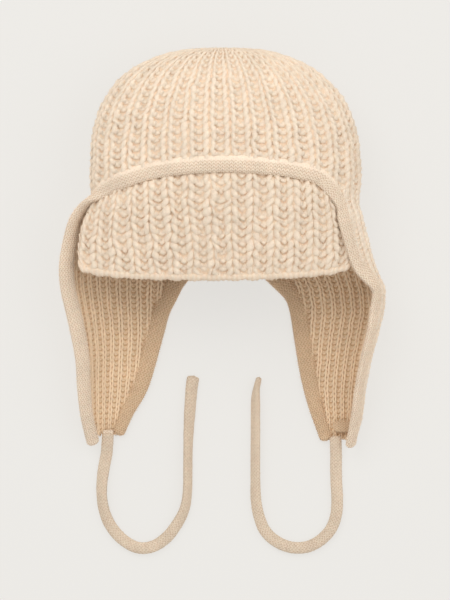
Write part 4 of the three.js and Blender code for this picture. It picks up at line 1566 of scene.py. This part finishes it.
class HAT_OT_ties(bpy.types.Operator):
    """Knit the two flat ties and lay them on the surface"""

    bl_idname = "hat.ties"
    bl_label = "Ties"

    def execute(self, context):
        settings = WoolSettings(context.scene)
        for side, route in (("left", LEFT_TIE), ("right", RIGHT_TIE)):
            centres, wides, distances = tie_line(route)
            to_end = np.clip((distances[-1] - distances) / 20, 0, 1)
            half = TIE["width"] * 0.45 * mix(1.05 if side == "left" else 0.35, 1, ease(to_end))
            strip = Strip(
                centres, wides, distances, half, TIE["thickness"] / 2, squareness=0.9, rounding=2.5
            )
            tie = stockinette(f"tie_{side}_knit", strip, **TIE_STITCH)
            loose_fibres(tie, 67, **TIE_FIBRES)
            material = wool_material(f"tie_{side}_wool", settings, "tie")
            finish_piece(tie, material, "knitted_tie", f"tie_{side}")
            path = centres[::TIE_PATH_STEP] * MM
            if len(centres) % TIE_PATH_STEP != 1:
                path = np.vstack([path, centres[-1:] * MM])
            tuple(centres[0] * MM)
            float(distances[-1] * MM)
        return {"FINISHED"}


class HAT_OT_crown(bpy.types.Operator):
    """Knit the chunky ribbed crown"""

    bl_idname = "hat.crown"
    bl_label = "Crown"

    def execute(self, context):
        knit_crown(WoolSettings(context.scene))
        return {"FINISHED"}


class HAT_OT_visor(bpy.types.Operator):
    """Knit the chunky ribbed visor"""

    bl_idname = "hat.visor"
    bl_label = "Visor"

    def execute(self, context):
        knit_visor(WoolSettings(context.scene))
        return {"FINISHED"}


class HAT_OT_ear_flaps(bpy.types.Operator):
    """Knit the two ear flaps in fine rib"""

    bl_idname = "hat.ear_flaps"
    bl_label = "Ear flaps"

    def execute(self, context):
        settings = WoolSettings(context.scene)
        knit_flap(settings, LEFT_FLAP, "ear_flap_left_knit", "ear_flap_left", 31)
        knit_flap(settings, RIGHT_FLAP, "ear_flap_right_knit", "ear_flap_right", 37)
        return {"FINISHED"}


class HAT_OT_bands(bpy.types.Operator):
    """Knit the stockinette bands along the front and back edges"""

    bl_idname = "hat.bands"
    bl_label = "Edge bands"

    def execute(self, context):
        settings = WoolSettings(context.scene)
        lines = (("front_band", front_band_line()), ("back_band", back_band_line()))
        for node, (points, normals) in lines:
            strip = band_strip(points, normals)
            band = stockinette(f"{node}_knit", strip, smooth_lit_side=brow_smooth_lit, **BAND_STITCH)
            loose_fibres(band, 61, **BAND_FIBRES)
            finish_piece(band, wool_material(f"{node}_wool", settings, node), "stockinette_band", node)
        return {"FINISHED"}


class HAT_OT_tacks(bpy.types.Operator):
    """Sew the spots that hold the ties to the flaps"""

    bl_idname = "hat.tacks"
    bl_label = "Tie tacks"

    def execute(self, context):
        settings = WoolSettings(context.scene)
        for side in ("left", "right"):
            low, high = (np.array(corner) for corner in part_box(f"tie_tack_{side}"))
            tack = round_ball(f"tie_tack_{side}_knit", 40, 16)
            ball = coordinates(tack)
            square = np.sign(ball) * np.abs(ball) ** TACK["squareness"]
            places = (low + high) / 2 + square * (high - low) / 2 * (1.0, 1.0, TACK["height_share"])
            outwards = ball[:, 0] if side == "right" else -ball[:, 0]
            places[:, 2] += (high[2] - low[2]) * TACK["rise"] * outwards
            move_to(tack, places, 1)
            wale, course = TACK["stitch"]
            add_attribute(tack, "stitch", places / MM * (1 / wale, 1 / course, 0))
            loose_fibres(tack, 71, **TACK_FIBRES)
            # The right tack takes the back band's wool, darkened with painted shadow like the inside of the
            # flap
            kind = "front_band" if side == "left" else "back_band"
            material = wool_material(f"tie_tack_{side}_wool", settings, kind)
            finish_piece(tack, material, "stockinette_band", f"tie_tack_{side}")
        return {"FINISHED"}


OPERATORS = (
    HAT_OT_stage,
    HAT_OT_ties,
    HAT_OT_crown,
    HAT_OT_visor,
    HAT_OT_ear_flaps,
    HAT_OT_bands,
    HAT_OT_tacks,
)


class HAT_PT_panel(bpy.types.Panel):
    bl_label = "Knitted trapper hat"
    bl_idname = "HAT_PT_panel"
    bl_space_type = "VIEW_3D"
    bl_region_type = "UI"
    bl_category = "Hat"

    def draw(self, context):
        for group in (context.scene.hat_sizes, context.scene.hat_colours):
            for prop in group.bl_rna.properties:
                if not prop.is_readonly and prop.identifier != "name":
                    self.layout.prop(group, prop.identifier)
        for operator in OPERATORS:
            self.layout.operator(operator.bl_idname)


CLASSES = (HatSizes, HatColours, *OPERATORS, HAT_PT_panel)


def register():
    for cls in CLASSES:
        bpy.utils.register_class(cls)
    bpy.types.Scene.hat_sizes = bpy.props.PointerProperty(type=HatSizes)
    bpy.types.Scene.hat_colours = bpy.props.PointerProperty(type=HatColours)


def unregister():
    del bpy.types.Scene.hat_colours
    del bpy.types.Scene.hat_sizes
    for cls in reversed(CLASSES):
        bpy.utils.unregister_class(cls)


def main():
    register()
    bpy.ops.hat.stage()
    bpy.ops.hat.ties()
    bpy.ops.hat.crown()
    bpy.ops.hat.visor()
    bpy.ops.hat.ear_flaps()
    bpy.ops.hat.bands()
    bpy.ops.hat.tacks()


if __name__ == "__main__":
    main()
